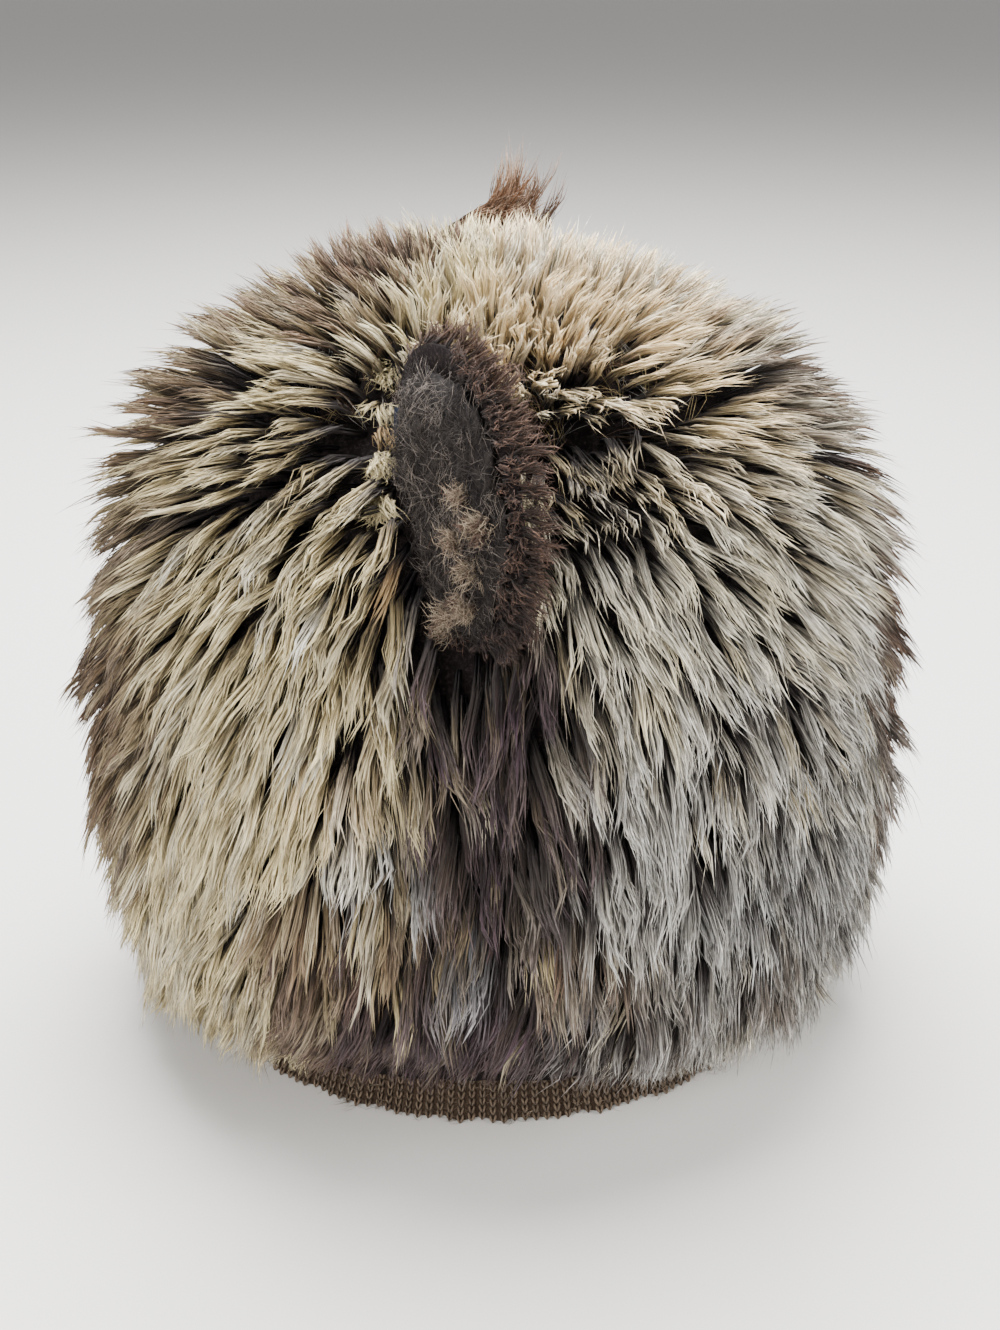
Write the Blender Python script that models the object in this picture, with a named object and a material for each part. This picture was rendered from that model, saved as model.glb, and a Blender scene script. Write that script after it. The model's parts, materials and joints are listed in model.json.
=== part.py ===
"""Bear ear hat: a deep-furred dome of three sewn panels on a rib-knit band, with two upright padded ears.

Metres, +Z up. The wearer's front faces -Y, the ears stand at +X and -X, and X = 0 is the mirror plane.
The origin is the centre of the ring on which the hat rests. Tables and sizes below are in millimetres.
"""

import math
import random

import bmesh
import bpy
import numpy as np
from mathutils import Vector
from mathutils.bvhtree import BVHTree

MM = 0.001

# The crown's skin is the face from which the fur grows. Columns: height, radius before the oval is applied.
CROWN_PROFILE = (
    (12.0, 90.0),
    (32.0, 96.5),
    (62.0, 101.0),
    (98.0, 101.0),
    (130.0, 97.5),
    (158.0, 90.5),
    (179.0, 80.5),
    (193.0, 69.5),
    (206.0, 54.5),
    (214.0, 41.0),
    (219.0, 27.0),
    (221.5, 13.0),
    (222.0, 0.0),
)
PROFILE_FINENESS = 24
SLOPE_SPAN = 1.0
OVAL_X = 0.93
OVAL_Y = 1.05
SEAM_RADIUS = 60.0
SEAM_GAP = 0.5
BACKING_THICKNESS = 1.5
PILE_GAP = 0.4
WALL_THICKNESS = 2.6

# The panels' grid of fur cells.
COLUMNS = 16
ROWS = 10
TOP_CELLS = 8
COLUMN_JITTER = 0.16
ROW_JITTER = 0.16
COLUMN_SHIFT = 0.25

# How the fur stands. Columns: height on the skin, length of a lock, lean towards the hem in degrees.
FUR_COMB = (
    (12.0, 16.0, 36.0),
    (30.0, 26.0, 48.0),
    (60.0, 36.0, 50.0),
    (100.0, 38.0, 50.0),
    (140.0, 37.0, 46.0),
    (165.0, 35.0, 40.0),
    (185.0, 33.0, 32.0),
    (200.0, 31.0, 26.0),
    (208.0, 30.0, 26.0),
    (216.0, 28.0, 18.0),
    (222.0, 26.0, 3.0),
)
LOCK_MIDDLE_ALONG = 0.55
LOCK_MIDDLE_WIDTH = 0.70
LOCK_LENGTH_JITTER = 0.13
LOCK_SIDE_JITTER_DEGREES = 7.0
LOCK_SAG_DEGREES = 9.0
# A lock that would come this near an ear is shortened by these steps, and left out if none clears the ear.
EAR_CLEARANCE = 0.3
LOCK_SHORTER = (1.0, 0.75, 0.5)

# The knit band.
BAND_HEIGHT = 40.0
BAND_OUTER_RADIUS = 84.6
BAND_THICKNESS = 3.2
BAND_RIBS = 64
BAND_RIB_DEPTH = 0.7
BAND_HEM_ROUND = 0.8

# Each ear stands on a plane through EAR_FOOT, turned outwards from the wearer's front by EAR_TURN_DEGREES.
EAR_FOOT_X = 78.0
EAR_FOOT_Y = -12.0
EAR_TURN_DEGREES = 25.0
EAR_CENTRE_X = 82.0
EAR_CENTRE_Z = 194.0
EAR_RADIUS = 38.0
EAR_ROOT_TOP_Z = 199.0
EAR_ROOT_FOOT_Z = 156.0
EAR_ROOT_CLEARANCE = 1.0
EAR_HEART_X = 91.0
EAR_HEART_Z = 199.0
EAR_RIM_STEPS = 11
EAR_ROOT_STEPS = 5
EAR_RING = 0.58
EAR_CUP = 4.0
EAR_GAP = 0.4
EAR_PAD_EDGE = 4.0
EAR_PAD_MIDDLE = 10.0
EAR_BACK_EDGE = 2.6
EAR_BACK_MIDDLE = 4.0
EAR_END_BLEND = 0.25
# The locks on an ear's back and rim point outwards from its middle and backwards, in these shares,
# and curl outwards.
EAR_LOCK_LENGTH = 15.0
EAR_LOCK_OUT = 0.75
EAR_RIM_LOCK_BACK = 0.35
EAR_LOCK_CURL = 0.3
# They start this far from the crown, and this far above the root's foot.
EAR_LOCK_ROOM = 15.0

SEED = 20

# Columns: name of the material, colour, roughness.
MATERIAL_TABLE = (
    ("brindled_fur", (0.42, 0.35, 0.26), 0.9),
    ("woven_backing", (0.07, 0.06, 0.06), 0.95),
    ("rib_knit", (0.30, 0.24, 0.18), 0.95),
    ("ear_fur", (0.16, 0.11, 0.08), 0.9),
    ("ear_plush", (0.05, 0.06, 0.09), 0.9),
)


def clear_scene():
    for obj in list(bpy.data.objects):
        bpy.data.objects.remove(obj, do_unlink=True)


def make_material(name):
    """A plain surface from the named row of MATERIAL_TABLE, made anew for each object."""
    colour, roughness = next(row[1:] for row in MATERIAL_TABLE if row[0] == name)
    material = bpy.data.materials.new(name)
    material.use_nodes = True
    shader = material.node_tree.nodes["Principled BSDF"]
    shader.inputs["Base Color"].default_value = (*colour, 1.0)
    shader.inputs["Roughness"].default_value = roughness
    material.diffuse_color = (*colour, 1.0)
    return material


def add_object(name, bm, material, collection):
    bmesh.ops.recalc_face_normals(bm, faces=bm.faces)
    if bm.calc_volume(signed=True) < 0:
        bmesh.ops.reverse_faces(bm, faces=bm.faces)
    mesh = bpy.data.meshes.new(name)
    bm.to_mesh(mesh)
    bm.free()
    mesh.materials.append(make_material(material))
    obj = bpy.data.objects.new(name, mesh)
    collection.objects.link(obj)
    return obj


def smooth_profile(table, steps):
    """The table as a line of (radius, height) through all its rows, level where it meets the axis."""
    rows = [np.array((radius, height)) for height, radius in table]
    first = 2 * rows[0] - rows[1]
    beyond_axis = rows[-2] * (-1, 1)
    rows = [first, *rows, beyond_axis]
    line = []
    for a, b, c, d in zip(rows, rows[1:], rows[2:], rows[3:]):
        for t in np.linspace(0, 1, steps, endpoint=False):
            curve = 2 * b + (c - a) * t
            curve = curve + (2 * a - 5 * b + 4 * c - d) * t**2
            curve = curve + (3 * b - a - 3 * c + d) * t**3
            line.append(curve / 2)
    line.append(rows[-2])
    return np.array(line)


PROFILE_LINE = smooth_profile(CROWN_PROFILE, PROFILE_FINENESS)
PROFILE_STEPS = np.linalg.norm(np.diff(PROFILE_LINE, axis=0), axis=1)
PROFILE_ALONG = np.concatenate(([0.0], np.cumsum(PROFILE_STEPS)))
PROFILE_LENGTH = PROFILE_ALONG[-1]


def profile_at(along):
    """(radius, height) and the outward direction in that plane, at this length of skin up from the hem."""
    ends = np.clip((along - SLOPE_SPAN, along, along + SLOPE_SPAN), 0.0, PROFILE_LENGTH)
    radius = np.interp(ends, PROFILE_ALONG, PROFILE_LINE[:, 0])
    height = np.interp(ends, PROFILE_ALONG, PROFILE_LINE[:, 1])
    across = math.hypot(radius[2] - radius[0], height[2] - height[0])
    outward = ((height[2] - height[0]) / across, (radius[0] - radius[2]) / across)
    return (radius[1], height[1]), outward


def along_at_height(height):
    return float(np.interp(height, PROFILE_LINE[:, 1], PROFILE_ALONG))


def along_at_radius(radius):
    """The length up the skin, past its widest part, at which it has narrowed to this radius."""
    widest = int(PROFILE_LINE[:, 0].argmax())
    upper_radius = PROFILE_LINE[widest:, 0][::-1]
    return float(np.interp(radius, upper_radius, PROFILE_ALONG[widest:][::-1]))


def skin_point(angle, along, offset):
    """A point at this angle round the crown and length up its skin, this far outside the skin. Metres."""
    (radius, height), (out_radius, out_height) = profile_at(along)
    reach = radius + offset * out_radius
    x = OVAL_X * reach * math.cos(angle)
    y = OVAL_Y * reach * math.sin(angle)
    return Vector((x, y, height + offset * out_height)) * MM


def skin_frame(angle, along):
    """Unit vectors out of the skin, down it towards the hem, and sideways, as the fur's comb uses them."""
    up = skin_point(angle, along + SLOPE_SPAN, 0.0) - skin_point(angle, along - SLOPE_SPAN, 0.0)
    turned = SLOPE_SPAN / SEAM_RADIUS
    side = skin_point(angle + turned, along, 0.0) - skin_point(angle - turned, along, 0.0)
    up = up.normalized()
    side = side.normalized()
    return side.cross(up).normalized(), -up, side


SEAM_ALONG = along_at_radius(SEAM_RADIUS)


def side_grid(front, seed):
    """(angle, along) of each corner of a side panel's cells, mirrored about X = 0, uneven inside."""
    rng = random.Random(seed)
    sign = -1.0 if front else 1.0
    half_gap = SEAM_GAP / 2 / SEAM_RADIUS
    width = math.pi / COLUMNS
    height = (SEAM_ALONG - SEAM_GAP / 2) / ROWS
    corners = {}
    for row in range(ROWS + 1):
        for column in range(COLUMNS // 2 + 1):
            angle = column * width
            along = row * height
            if 0 < row < ROWS:
                along += height * ROW_JITTER * rng.uniform(-1, 1)
                if 0 < column < COLUMNS // 2:
                    angle += width * COLUMN_JITTER * rng.uniform(-1, 1)
                    angle += width * COLUMN_SHIFT * (row % 2)
            angle = max(angle, half_gap)
            corners[column, row] = (sign * angle, along)
            corners[COLUMNS - column, row] = (sign * (math.pi - angle), along)
    return corners


def top_grid(seed):
    """(angle, along) of each corner of the top panel's cells: a square grid pressed into the seam's round."""
    rng = random.Random(seed)
    half = TOP_CELLS // 2
    reach = PROFILE_LENGTH - SEAM_ALONG - SEAM_GAP / 2
    corners = {}
    for row in range(TOP_CELLS + 1):
        for column in range(half + 1):
            a = math.sqrt(2) * math.sin((column - half) / half * math.pi / 4)
            b = math.sqrt(2) * math.sin((row - half) / half * math.pi / 4)
            x = a * math.sqrt(1 - b * b / 2)
            y = b * math.sqrt(1 - a * a / 2)
            if 0 < row < TOP_CELLS and 0 < column:
                y += ROW_JITTER / half * rng.uniform(-1, 1)
                if column < half:
                    x += COLUMN_JITTER / half * rng.uniform(-1, 1)
            for side, mirrored in ((1, column), (-1, TOP_CELLS - column)):
                along = PROFILE_LENGTH - reach * math.hypot(x, y)
                corners[mirrored, row] = (math.atan2(y, side * x), along)
    return corners


def thick_sheet(columns, rows, corners, inner, outer):
    """A grid of cells laid on the skin at the inner offset and drawn out to the outer one.

    Returns the mesh, its outer faces and the two layers that number the cells.
    """
    bm = bmesh.new()
    column_of = bm.verts.layers.int.new("column")
    row_of = bm.verts.layers.int.new("row")
    grid = bmesh.ops.create_grid(bm, x_segments=columns, y_segments=rows, size=1.0)
    for vertex in grid["verts"]:
        vertex[column_of] = round((vertex.co.x + 1) * columns / 2)
        vertex[row_of] = round((vertex.co.y + 1) * rows / 2)
    lower = bm.faces[:]
    drawn = bmesh.ops.extrude_face_region(bm, geom=lower, use_keep_orig=True)["geom"]
    raised = {item for item in drawn if isinstance(item, bmesh.types.BMVert)}
    upper = [item for item in drawn if isinstance(item, bmesh.types.BMFace)]
    for vertex in bm.verts:
        offset = outer if vertex in raised else inner
        place = corners[vertex[column_of], vertex[row_of]]
        vertex.co = skin_point(*place, offset)
    bmesh.ops.recalc_face_normals(bm, faces=bm.faces)
    bmesh.ops.triangulate(bm, faces=lower, quad_method="SHORT_EDGE")
    return bm, upper, (column_of, row_of)


def grow_lock(bm, face, middle, tip):
    """Draws one face out to a ring about the middle point and on to a tip."""
    centre = face.calc_center_median()
    ring = bmesh.ops.extrude_discrete_faces(bm, faces=[face])["faces"][0]
    for vertex in ring.verts:
        vertex.co = middle + (vertex.co - centre) * LOCK_MIDDLE_WIDTH
    poked = bmesh.ops.poke(bm, faces=[ring])
    poked["verts"][0].co = tip


def ear_normal():
    turn = math.radians(EAR_TURN_DEGREES)
    return Vector((math.sin(turn), -math.cos(turn), 0.0))


def ear_outward():
    turn = math.radians(EAR_TURN_DEGREES)
    return Vector((math.cos(turn), math.sin(turn), 0.0))


def ear_outline(part):
    """(x, height) of the ear's rim in its own plane, from the root's top (0) over the tip to its foot (1)."""
    top = ear_root(EAR_ROOT_TOP_Z, 0.0)
    foot = ear_root(EAR_ROOT_FOOT_Z, 0.0)
    centre = np.array((EAR_CENTRE_X, EAR_CENTRE_Z))
    start = np.array((top.x / MM, top.z / MM)) - centre
    end = np.array((foot.x / MM, foot.z / MM)) - centre
    first = math.atan2(start[1], start[0])
    last = math.atan2(end[1], end[0])
    angle = first + (last - first) * part
    near_top = max(0.0, 1 - part / EAR_END_BLEND) ** 2
    near_foot = max(0.0, 1 - (1 - part) / EAR_END_BLEND) ** 2
    radius = EAR_RADIUS
    radius += near_top * (np.linalg.norm(start) - EAR_RADIUS)
    radius += near_foot * (np.linalg.norm(end) - EAR_RADIUS)
    return centre[0] + radius * math.cos(angle), centre[1] + radius * math.sin(angle)


def ear_place(x, height, forward):
    """The point of the left ear over this x on its plane, moved forward of the plane. Metres."""
    outward = (x - EAR_FOOT_X) / math.cos(math.radians(EAR_TURN_DEGREES))
    place = Vector((EAR_FOOT_X, EAR_FOOT_Y, height))
    place += ear_outward() * outward + ear_normal() * forward
    return place * MM


def ear_root(height, forward):
    """Where the plane, moved forward, meets the crown at this height, with clearance. Metres."""
    (radius, level), (out_radius, out_height) = profile_at(along_at_height(height))
    reach = radius + EAR_ROOT_CLEARANCE * out_radius
    base = Vector((EAR_FOOT_X, EAR_FOOT_Y, 0.0)) + ear_normal() * forward
    way = ear_outward()
    a = (way.x / OVAL_X) ** 2 + (way.y / OVAL_Y) ** 2
    b = base.x * way.x / OVAL_X**2 + base.y * way.y / OVAL_Y**2
    c = (base.x / OVAL_X) ** 2 + (base.y / OVAL_Y) ** 2 - reach**2
    along = (math.sqrt(b * b - a * c) - b) / a
    place = base + way * along
    place.z = level + EAR_ROOT_CLEARANCE * out_height
    return place * MM


def ear_loop_point(step, forward):
    """Corner number `step` of the ear's closed outline, at this distance forward of its plane."""
    if 0 < step < EAR_RIM_STEPS:
        x, height = ear_outline(step / EAR_RIM_STEPS)
        return ear_place(x, height, forward)
    climbed = 1.0 if step == 0 else (step - EAR_RIM_STEPS) / EAR_ROOT_STEPS
    height = EAR_ROOT_FOOT_Z + (EAR_ROOT_TOP_Z - EAR_ROOT_FOOT_Z) * climbed
    return ear_root(height, forward)


def ear_shell(near, far):
    """A closed slab of the ear between two faces, each given as (edge, middle) forward of the ear's plane.

    Returns the mesh, the faces of the far side, those of the rim and root, and the two layers that number
    the corners.
    """
    bm = bmesh.new()
    count = EAR_RIM_STEPS + EAR_ROOT_STEPS
    step_of = bm.verts.layers.int.new("step")
    ring_of = bm.verts.layers.int.new("ring")
    disc = bmesh.ops.create_circle(bm, cap_ends=True, cap_tris=True, segments=count, radius=1.0)
    for vertex in disc["verts"]:
        if not vertex.is_boundary:
            continue
        vertex[step_of] = round(math.atan2(vertex.co.y, vertex.co.x) / math.tau * count) % count
        vertex[ring_of] = 1
    edge = [item for item in bm.edges if item.is_boundary]
    for item in bmesh.ops.extrude_edge_only(bm, edges=edge)["geom"]:
        if isinstance(item, bmesh.types.BMVert):
            item[ring_of] = 2
    lower = bm.faces[:]
    drawn = bmesh.ops.extrude_face_region(bm, geom=lower, use_keep_orig=True)["geom"]
    raised = {item for item in drawn if isinstance(item, bmesh.types.BMVert)}
    upper = [item for item in drawn if isinstance(item, bmesh.types.BMFace)]
    for vertex in bm.verts:
        edge_forward, middle_forward = far if vertex in raised else near
        out = (0.0, EAR_RING, 1.0)[vertex[ring_of]]
        forward = middle_forward + (edge_forward - middle_forward) * out**2 + EAR_CUP * out**2
        heart = ear_place(EAR_HEART_X, EAR_HEART_Z, forward)
        rim = ear_loop_point(vertex[step_of], forward)
        vertex.co = heart + (rim - heart) * out
    bmesh.ops.recalc_face_normals(bm, faces=bm.faces)
    sides = [face for face in bm.faces if face not in set(lower) | set(upper)]
    return bm, upper, sides, (step_of, ring_of)


def comb_at(height):
    """(length, lean in radians) of the fur at this height on the skin."""
    heights, lengths, leans = zip(*FUR_COMB)
    return np.interp(height, heights, lengths), math.radians(np.interp(height, heights, leans))


def clears(corners, middle, tip, ears):
    """Whether a lock from these corners by the middle point to the tip keeps away from the ears."""
    centre = sum(corners, Vector()) / len(corners)
    ring = [middle + (corner - centre) * LOCK_MIDDLE_WIDTH for corner in corners]
    count = len(corners)
    sides = [(i, (i + 1) % count, (i + 1) % count + count, i + count) for i in range(count)]
    sides += [(i + count, (i + 1) % count + count, 2 * count) for i in range(count)]
    lock = BVHTree.FromPolygons([*corners, *ring, tip], sides, epsilon=EAR_CLEARANCE * MM)
    return not lock.overlap(ears)


def fur_on(bm, faces, layers, corners, columns, seed, ears):
    """Draws each outer cell into a lock, with the cells on the two sides of X = 0 alike."""
    column_of, row_of = layers
    for face in faces:
        column = min(vertex[column_of] for vertex in face.verts)
        row = min(vertex[row_of] for vertex in face.verts)
        mirrored = column >= columns / 2
        like = columns - 1 - column if mirrored else column
        rng = random.Random(f"lock {seed} {like} {row}")
        angles = [corners[vertex[column_of], vertex[row_of]][0] for vertex in face.verts]
        alongs = [corners[vertex[column_of], vertex[row_of]][1] for vertex in face.verts]
        angle = math.atan2(sum(map(math.sin, angles)), sum(map(math.cos, angles)))
        out, down, side = skin_frame(angle, sum(alongs) / len(alongs))
        centre = face.calc_center_median()
        length, lean = comb_at(centre.z / MM)
        length *= 1 + LOCK_LENGTH_JITTER * rng.uniform(-1, 1)
        sideways = math.radians(LOCK_SIDE_JITTER_DEGREES) * rng.uniform(-1, 1)
        sideways *= -1.0 if mirrored else 1.0
        sag = math.radians(LOCK_SAG_DEGREES)
        first = out * math.cos(lean - sag) + down * math.sin(lean - sag) + side * sideways
        last = out * math.cos(lean + sag) + down * math.sin(lean + sag) + side * sideways
        base = [vertex.co.copy() for vertex in face.verts]
        for shorter in LOCK_SHORTER:
            reach = length * shorter * MM
            middle = centre + first * (reach * LOCK_MIDDLE_ALONG)
            tip = middle + last * (reach * (1 - LOCK_MIDDLE_ALONG))
            if clears(base, middle, tip, ears):
                grow_lock(bm, face, middle, tip)
                break


def make_side_panel(name, corners, collection):
    """The fabric wall of one side panel."""
    outer = -BACKING_THICKNESS - PILE_GAP
    bm, upper, _ = thick_sheet(COLUMNS, ROWS, corners, outer - WALL_THICKNESS, outer)
    bmesh.ops.triangulate(bm, faces=upper, quad_method="SHORT_EDGE")
    return add_object(name, bm, "woven_backing", collection)


def make_side_fur(name, corners, seed, ears, collection):
    """The deep fur of one side panel on its thin backing."""
    bm, upper, layers = thick_sheet(COLUMNS, ROWS, corners, -BACKING_THICKNESS, 0.0)
    fur_on(bm, upper, layers, corners, COLUMNS, seed, ears)
    return add_object(name, bm, "brindled_fur", collection)


def make_top_panel(name, corners, collection):
    """The fabric wall of the round top panel."""
    outer = -BACKING_THICKNESS - PILE_GAP
    bm, upper, _ = thick_sheet(TOP_CELLS, TOP_CELLS, corners, outer - WALL_THICKNESS, outer)
    bmesh.ops.triangulate(bm, faces=upper, quad_method="SHORT_EDGE")
    return add_object(name, bm, "woven_backing", collection)


def make_top_fur(name, corners, seed, ears, collection):
    """The deep fur of the top panel on its thin backing."""
    bm, upper, layers = thick_sheet(TOP_CELLS, TOP_CELLS, corners, -BACKING_THICKNESS, 0.0)
    fur_on(bm, upper, layers, corners, TOP_CELLS, seed, ears)
    return add_object(name, bm, "brindled_fur", collection)


def make_knit_band(name, collection):
    """The ribbed ring on which the hat rests: a flat foot, a rounded hem and upright ribs outside."""
    outer = BAND_OUTER_RADIUS
    inner = outer - BAND_THICKNESS
    section = (
        (inner, BAND_HEIGHT, 0.0),
        (inner, 0.0, 0.0),
        (outer - BAND_HEM_ROUND - BAND_RIB_DEPTH, 0.0, 0.0),
        (outer - BAND_RIB_DEPTH, BAND_HEM_ROUND, 1.0),
        (outer - BAND_RIB_DEPTH, BAND_HEIGHT, 1.0),
    )
    bm = bmesh.new()
    loop = [bm.verts.new((radius * MM, 0.0, height * MM)) for radius, height, _ in section]
    edges = [bm.edges.new((a, b)) for a, b in zip(loop, loop[1:] + loop[:1])]
    steps = BAND_RIBS * 2
    bmesh.ops.spin(
        bm,
        geom=loop + edges,
        cent=(0.0, 0.0, 0.0),
        axis=(0.0, 0.0, 1.0),
        angle=math.tau,
        steps=steps,
        use_merge=True,
    )
    ribbed = {(round(radius, 3), round(height, 3)) for radius, height, rib in section if rib}
    for vertex in bm.verts:
        radius = math.hypot(vertex.co.x, vertex.co.y) / MM
        step = round(math.atan2(vertex.co.y, vertex.co.x) / math.tau * steps)
        if (round(radius, 3), round(vertex.co.z / MM, 3)) in ribbed and step % 2:
            vertex.co.xy *= 1 + BAND_RIB_DEPTH / radius
        vertex.co.x *= OVAL_X
        vertex.co.y *= OVAL_Y
    return add_object(name, bm, "rib_knit", collection)


def mirror_to_right(bm, side):
    if side < 0:
        for vertex in bm.verts:
            vertex.co.x *= -1


def make_ear_lining(name, side, collection):
    """The padded plush face of an ear."""
    near = (EAR_GAP / 2, EAR_GAP / 2)
    far = (EAR_PAD_EDGE, EAR_PAD_MIDDLE)
    bm, _, _, _ = ear_shell(near, far)
    mirror_to_right(bm, side)
    return add_object(name, bm, "ear_plush", collection)


def make_ear_fur(name, side, collection):
    """The furred back and rim of an ear."""
    near = (-EAR_GAP / 2, -EAR_GAP / 2)
    far = (-EAR_BACK_EDGE, -EAR_BACK_MIDDLE)
    bm, upper, sides, (step_of, ring_of) = ear_shell(near, far)
    heart = ear_place(EAR_HEART_X, EAR_HEART_Z, 0.0)
    for face in upper + sides:
        centre = face.calc_center_median()
        height = centre.z / MM
        from_crown = centre.x - ear_root(min(height, EAR_ROOT_TOP_Z), 0.0).x
        if height < EAR_ROOT_FOOT_Z + EAR_LOCK_ROOM or from_crown < EAR_LOCK_ROOM * MM:
            continue
        corners = sorted((vertex[step_of], vertex[ring_of]) for vertex in face.verts)
        rng = random.Random(f"ear lock {SEED} {corners}")
        outward = (centre - heart).normalized()
        backward = -ear_normal()
        if face in sides:
            way = outward + backward * EAR_RIM_LOCK_BACK
        else:
            way = outward * EAR_LOCK_OUT + backward
        way = way.normalized()
        curled = (way + outward * EAR_LOCK_CURL).normalized()
        length = EAR_LOCK_LENGTH * (1 + LOCK_LENGTH_JITTER * rng.uniform(-1, 1)) * MM
        middle = centre + way * (length * LOCK_MIDDLE_ALONG)
        tip = middle + curled * (length * (1 - LOCK_MIDDLE_ALONG))
        grow_lock(bm, face, middle, tip)
    mirror_to_right(bm, side)
    return add_object(name, bm, "ear_fur", collection)


def joined_faces(objects):
    """The faces of these objects as one searchable tree."""
    points = []
    faces = []
    for obj in objects:
        first = len(points)
        points += [vertex.co.copy() for vertex in obj.data.vertices]
        faces += [[first + index for index in face.vertices] for face in obj.data.polygons]
    return BVHTree.FromPolygons(points, faces, epsilon=EAR_CLEARANCE * MM)


def build():
    clear_scene()
    collection = bpy.data.collections.new("bear_ear_hat")
    bpy.context.scene.collection.children.link(collection)
    front = side_grid(True, SEED + 1)
    back = side_grid(False, SEED + 2)
    top = top_grid(SEED + 3)
    ears = []
    for name, side in (("left", 1), ("right", -1)):
        ears.append(make_ear_lining(f"ear_lining_{name}", side, collection))
        ears.append(make_ear_fur(f"ear_fur_{name}", side, collection))
    around = joined_faces(ears)
    make_knit_band("knit_band", collection)
    make_side_panel("front_panel", front, collection)
    make_side_panel("back_panel", back, collection)
    make_top_panel("top_panel", top, collection)
    make_side_fur("front_fur", front, SEED + 4, around, collection)
    make_side_fur("back_fur", back, SEED + 5, around, collection)
    make_top_fur("top_fur", top, SEED + 6, around, collection)


build()
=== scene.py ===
# %% [markdown]
# # A bear ear hat in deep brindled fur
# The hat stands on its knit band. Its fur is the whole picture, so most of this lesson
# grows fur: roots are spread over the crown, each root gets a lean, a length and a colour,
# and one Geometry Nodes tree bends a tapered lock out of every root.

import json
import math

import bmesh
import bpy
import numpy as np
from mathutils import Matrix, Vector

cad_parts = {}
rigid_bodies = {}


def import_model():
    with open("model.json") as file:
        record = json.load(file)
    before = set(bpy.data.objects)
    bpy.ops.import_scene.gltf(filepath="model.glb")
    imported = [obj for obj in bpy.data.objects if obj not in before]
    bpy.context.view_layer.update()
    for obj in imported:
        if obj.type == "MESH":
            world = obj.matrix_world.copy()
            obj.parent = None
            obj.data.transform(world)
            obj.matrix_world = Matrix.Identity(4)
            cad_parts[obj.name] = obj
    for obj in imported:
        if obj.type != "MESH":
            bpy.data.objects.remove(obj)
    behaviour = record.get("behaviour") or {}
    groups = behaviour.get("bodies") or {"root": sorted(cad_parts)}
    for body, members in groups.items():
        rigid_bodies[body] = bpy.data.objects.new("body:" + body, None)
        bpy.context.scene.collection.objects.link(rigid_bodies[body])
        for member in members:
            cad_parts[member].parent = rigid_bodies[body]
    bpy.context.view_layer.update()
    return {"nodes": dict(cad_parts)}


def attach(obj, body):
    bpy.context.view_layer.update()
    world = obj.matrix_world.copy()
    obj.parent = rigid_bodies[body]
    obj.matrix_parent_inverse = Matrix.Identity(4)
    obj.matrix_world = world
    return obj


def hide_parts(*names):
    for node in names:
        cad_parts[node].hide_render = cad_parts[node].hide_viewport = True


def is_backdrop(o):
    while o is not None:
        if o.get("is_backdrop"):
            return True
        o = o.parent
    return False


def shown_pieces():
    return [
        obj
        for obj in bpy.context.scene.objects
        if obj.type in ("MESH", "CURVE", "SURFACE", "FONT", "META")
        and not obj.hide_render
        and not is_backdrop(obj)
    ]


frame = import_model()

MM = 0.001

# %% [markdown]
# ## The crown's skin
# The real crown is cut from cloth panels, and fur grows from their outer face. The same
# profile as the panels', turned into an oval, gives each root its place and direction.

# %% The skin as a function
# Columns: height, radius before the oval is applied, in millimetres.
CROWN_PROFILE = np.array(
    [
        (12.0, 90.0),
        (32.0, 96.5),
        (62.0, 101.0),
        (98.0, 101.0),
        (130.0, 97.5),
        (158.0, 90.5),
        (179.0, 80.5),
        (193.0, 69.5),
        (206.0, 54.5),
        (214.0, 41.0),
        (219.0, 27.0),
        (221.5, 13.0),
        (222.0, 0.0),
    ]
)
OVAL = np.array([0.93, 1.05])
SEAM_RADIUS = 60.0


def smooth_profile(rows, steps=24):
    """A smooth line of (radius, height) through the table's rows."""
    points = rows[:, ::-1]
    points = np.vstack([2 * points[0] - points[1], points, points[-2] * (-1, 1)])
    t = np.linspace(0, 1, steps, endpoint=False)[:, None]
    line = []
    for a, b, c, d in zip(points, points[1:], points[2:], points[3:]):
        curve = 2 * b + (c - a) * t + (2 * a - 5 * b + 4 * c - d) * t**2
        line.append((curve + (3 * b - a - 3 * c + d) * t**3) / 2)
    return np.vstack([*line, points[-2:-1]])


LINE = smooth_profile(CROWN_PROFILE)
ALONG = np.concatenate([[0.0], np.cumsum(np.linalg.norm(np.diff(LINE, axis=0), axis=1))])
LENGTH = ALONG[-1]
WIDEST = int(LINE[:, 0].argmax())
SEAM = float(np.interp(SEAM_RADIUS, LINE[WIDEST:, 0][::-1], ALONG[WIDEST:][::-1]))


def skin(angle, along, offset=0.0):
    """Points on the skin, or this far outside it, at these angles and lengths up from the hem, in mm."""
    ends = [np.clip(along + d, 0, LENGTH) for d in (-1.0, 1.0)]
    radius = np.interp(along, ALONG, LINE[:, 0])
    height = np.interp(along, ALONG, LINE[:, 1])
    rise = [np.interp(e, ALONG, LINE[:, 1]) for e in ends]
    reach = [np.interp(e, ALONG, LINE[:, 0]) for e in ends]
    across = np.hypot(rise[1] - rise[0], reach[1] - reach[0])
    radius = radius + offset * (rise[1] - rise[0]) / across
    height = height + offset * (reach[0] - reach[1]) / across
    return np.stack([OVAL[0] * radius * np.cos(angle), OVAL[1] * radius * np.sin(angle), height], -1)


def unit(v):
    """The same directions with length 1."""
    return v / np.maximum(np.linalg.norm(v, axis=-1, keepdims=True), 1e-9)


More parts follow.
